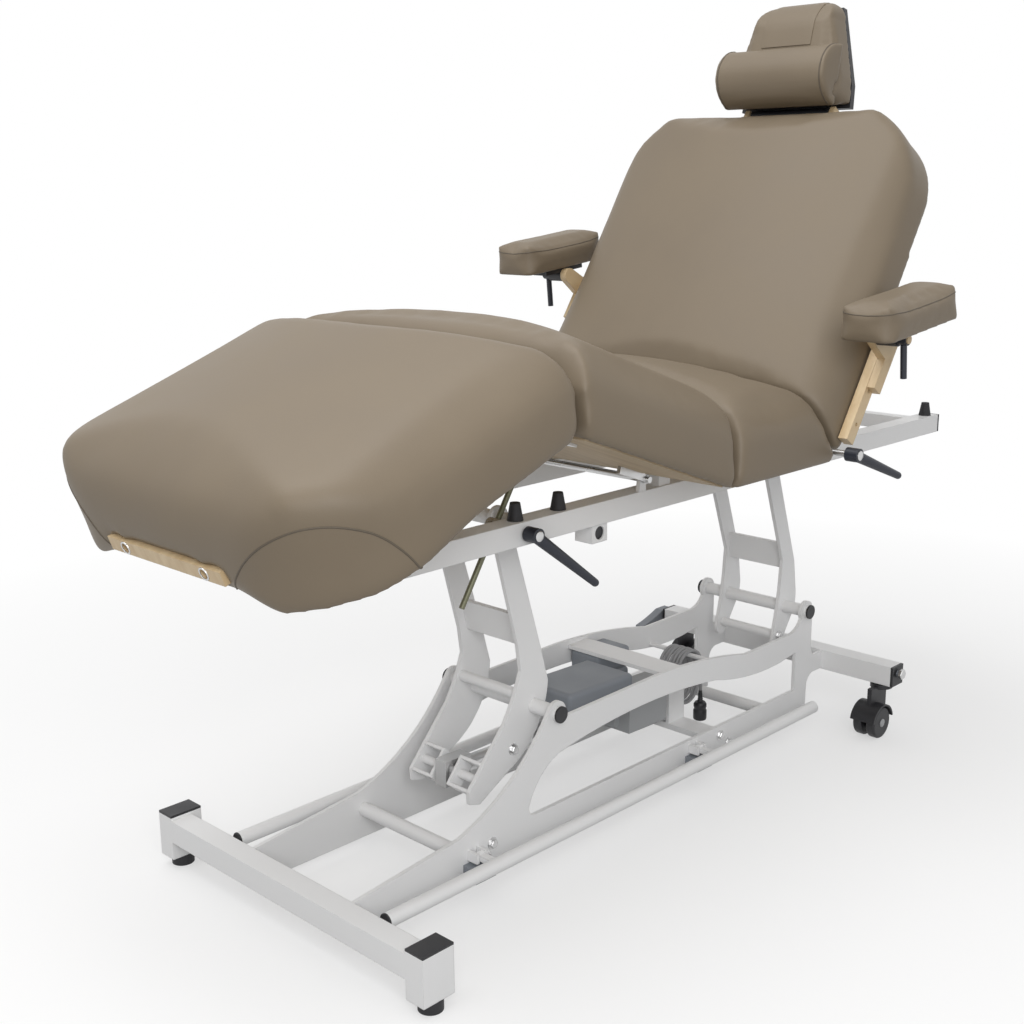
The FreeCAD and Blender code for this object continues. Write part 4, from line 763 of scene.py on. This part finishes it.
fittings = [
    ("front_arm_bolt_right", bolt, (-352, -79, 200), near, "steel", "front_arms"),
    ("front_arm_bolt_left", bolt, (-352, 79, 200), far_side, "steel", "front_arms"),
    ("rear_arm_bolt_right", bolt, (497, -79, 204), near, "steel", "rear_arms"),
    ("rear_arm_bolt_left", bolt, (497, 79, 204), far_side, "steel", "rear_arms"),
    ("foot_bar_plug_right", tube_plug, (-759, -198, 77), (-1, 0, 0), "black", "foot_bar_right"),
    ("foot_bar_plug_left", tube_plug, (-759, 198, 77), (-1, 0, 0), "black", "foot_bar_left"),
    ("knee_lever_button", button, (-416, -206, 630), near, "steel", "knee_lever"),
    ("back_lever_button", button, (209, -424, 700), near, "steel", "back_lever"),
    ("socket_plug_right", bore_plug, (-223, -170, 593), near, "black", "upper_frame"),
    ("socket_plug_left", bore_plug, (-223, 170, 593), far_side, "black", "upper_frame"),
    ("brake_shaft_nut", shaft_nut, (609, -321, 143), near, "steel", "brake"),
    ("cradle_bush_right", bore_bush, (-986.1, -103, 668.2), (-0.934, 0, -0.358), "steel", "leg"),
    ("cradle_bush_left", bore_bush, (-986.1, 103, 668.2), (-0.934, 0, -0.358), "steel", "leg")]
for side, sign, facing_out in (("right", -1, near), ("left", 1, far_side)):
    for count, (x, z) in enumerate([(203, 73), (233, 48), (-478, 55), (-465, 78)], 1):
        fittings.append((f"sill_bolt_{side}_{count}", bolt, (x, sign * 137, z), facing_out, "steel", "base"))
    wheel_x = 609 + sign * 36
    for edge, way in (("outer", sign), ("inner", -sign)):
        cap_at = (wheel_x, sign * 277 + way * 26.4, 35)
        fittings.append((f"axle_cap_{side}_{edge}", axle_cap, cap_at, (0, way, 0), "grey",
                         "caster_wheels_" + side))
for name, parts, at, axis, slot, body in fittings:
    add_piece(name, turned_mesh(name, parts, at, axis), finishes[slot], body)
print("fittings:", len(fittings))

# %% [markdown]
# ## The control box
# The lift's control box hangs under the bridge bar: a moulded tray and a lid that meet in a fine groove.
# A bevelled block would do, but two rounded shells with a small step look like a moulding.


# %% Rounded shells for the control box
def rounded_block(work, low, high, radius, steps=4):
    """Box with rounded edges, in mm, added to a bmesh."""
    made = bmesh.ops.create_cube(work, size=1.0)["verts"]
    middle = (Vector(low) + Vector(high)) / 2
    across = Vector(high) - Vector(low)
    for corner in made:
        corner.co = Vector([(m + c * a) * MM for m, c, a in zip(middle, corner.co, across)])
    sides = list({edge for corner in made for edge in corner.link_edges})
    bmesh.ops.bevel(work, geom=sides, offset=radius * MM, segments=steps, profile=0.5, affect="EDGES")


box_work = bmesh.new()
rounded_block(box_work, (30, 49, 101), (133, 123, 198), 9)
rounded_block(box_work, (34, 53, 190), (129, 119, 206), 4)
rounded_block(box_work, (29, 48, 200.5), (134, 124, 244), 8)
for rib in range(4):
    rounded_block(box_work, (48 + rib * 20, 46.6, 118), (56 + rib * 20, 50, 180), 1.2, 2)
box_mesh = bpy.data.meshes.new("control_shells")
box_work.to_mesh(box_mesh)
box_work.free()
box_mesh.shade_smooth()
box_mesh.set_sharp_from_angle(angle=math.radians(35))
control_shells = add_piece("control_shells", box_mesh, finishes["cover"], "base")
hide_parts("control_box")
print("control box faces:", len(box_mesh.polygons))

# %% [markdown]
# ## Floor and light
# The table stands on a plain pale floor that melts into white, with its own soft shadow kept.
# The floor looks pale to the camera and to reflections only, so it lights the undersides no more than a room does.
# One broad lamp overhead and a weaker one beside the viewer give the soft shading of a studio.


# %% Floor
def seen_share(tree):
    """1 for rays that end in the picture: straight, mirrored or through glass. 0 for those that only give light."""
    ray = tree.nodes.new("ShaderNodeLightPath")
    straight = sum_node(tree, "MAXIMUM", ray.outputs["Is Camera Ray"], ray.outputs["Is Glossy Ray"])
    return sum_node(tree, "MAXIMUM", straight, ray.outputs["Is Transmission Ray"])


floor_mesh = bpy.data.meshes.new("studio_floor")
floor_reach = 9.0
floor_sides = 64
rim_angles = [step * math.tau / floor_sides for step in range(floor_sides)]
rim = [(floor_reach * math.cos(angle), floor_reach * math.sin(angle), 0) for angle in rim_angles]
floor_mesh.from_pydata(rim, [], [list(range(floor_sides))])
studio_floor = bpy.data.objects.new("studio_floor", floor_mesh)
studio_floor.location.z = -0.0006
scene.collection.objects.link(studio_floor)
floor_finish, floor_tree, floor_shader = blank_finish("studio_floor", 0.9)
floor_shader.inputs["Base Color"].default_value = (0.93, 0.93, 0.93, 1)
floor_shader.inputs["Specular IOR Level"].default_value = 0.1
dim = floor_tree.nodes.new("ShaderNodeBsdfDiffuse")
dim.inputs["Color"].default_value = (0.38, 0.38, 0.38, 1)
glow = floor_tree.nodes.new("ShaderNodeEmission")
glow.inputs["Strength"].default_value = 1.0
spot_place = floor_tree.nodes.new("ShaderNodeNewGeometry").outputs["Position"]
reach = floor_tree.nodes.new("ShaderNodeVectorMath")
reach.operation = "LENGTH"
floor_tree.links.new(spot_place, reach.inputs[0])
fade = spread(floor_tree, reach.outputs["Value"], 1.0, 2.4, 0.5, 1.0)
pale = floor_tree.nodes.new("ShaderNodeMixShader")
floor_tree.links.new(fade, pale.inputs[0])
floor_tree.links.new(floor_shader.outputs[0], pale.inputs[1])
floor_tree.links.new(glow.outputs[0], pale.inputs[2])
both = floor_tree.nodes.new("ShaderNodeMixShader")
floor_tree.links.new(seen_share(floor_tree), both.inputs[0])
floor_tree.links.new(dim.outputs[0], both.inputs[1])
floor_tree.links.new(pale.outputs[0], both.inputs[2])
floor_tree.links.new(both.outputs[0], floor_tree.nodes["Material Output"].inputs["Surface"])
floor_mesh.materials.append(floor_finish)
print("floor reach:", floor_reach)

# %% Sky and lamps
sky = bpy.data.worlds.new("studio_white")
scene.world = sky
sky.use_nodes = True
sky_tree = sky.node_tree
room = sky_tree.nodes["Background"]
room.inputs["Color"].default_value = (1, 1, 1, 1)
room.inputs["Strength"].default_value = 0.5
backdrop = sky_tree.nodes.new("ShaderNodeBackground")
backdrop.inputs["Strength"].default_value = 1.0
backdrop.inputs["Color"].default_value = (1, 1, 1, 1)
sky_mix = sky_tree.nodes.new("ShaderNodeMixShader")
sky_tree.links.new(seen_share(sky_tree), sky_mix.inputs[0])
sky_tree.links.new(room.outputs[0], sky_mix.inputs[1])
sky_tree.links.new(backdrop.outputs[0], sky_mix.inputs[2])
sky_tree.links.new(sky_mix.outputs[0], sky_tree.nodes["World Output"].inputs["Surface"])


def soft_lamp(name, spot, target, across, power):
    """Square area lamp that looks at a target."""
    light = bpy.data.lights.new(name, "AREA")
    light.shape = "SQUARE"
    light.size = across
    light.energy = power
    lamp = bpy.data.objects.new(name, light)
    lamp.location = spot
    lamp.rotation_euler = (Vector(target) - Vector(spot)).to_track_quat("-Z", "Y").to_euler()
    scene.collection.objects.link(lamp)


soft_lamp("overhead_lamp", (-1.2, 0.4, 4.2), (-0.1, 0, 0.7), 3.0, 82)
soft_lamp("viewer_side_lamp", (-2.6, -2.8, 2.2), (0, 0, 0.5), 2.0, 62)
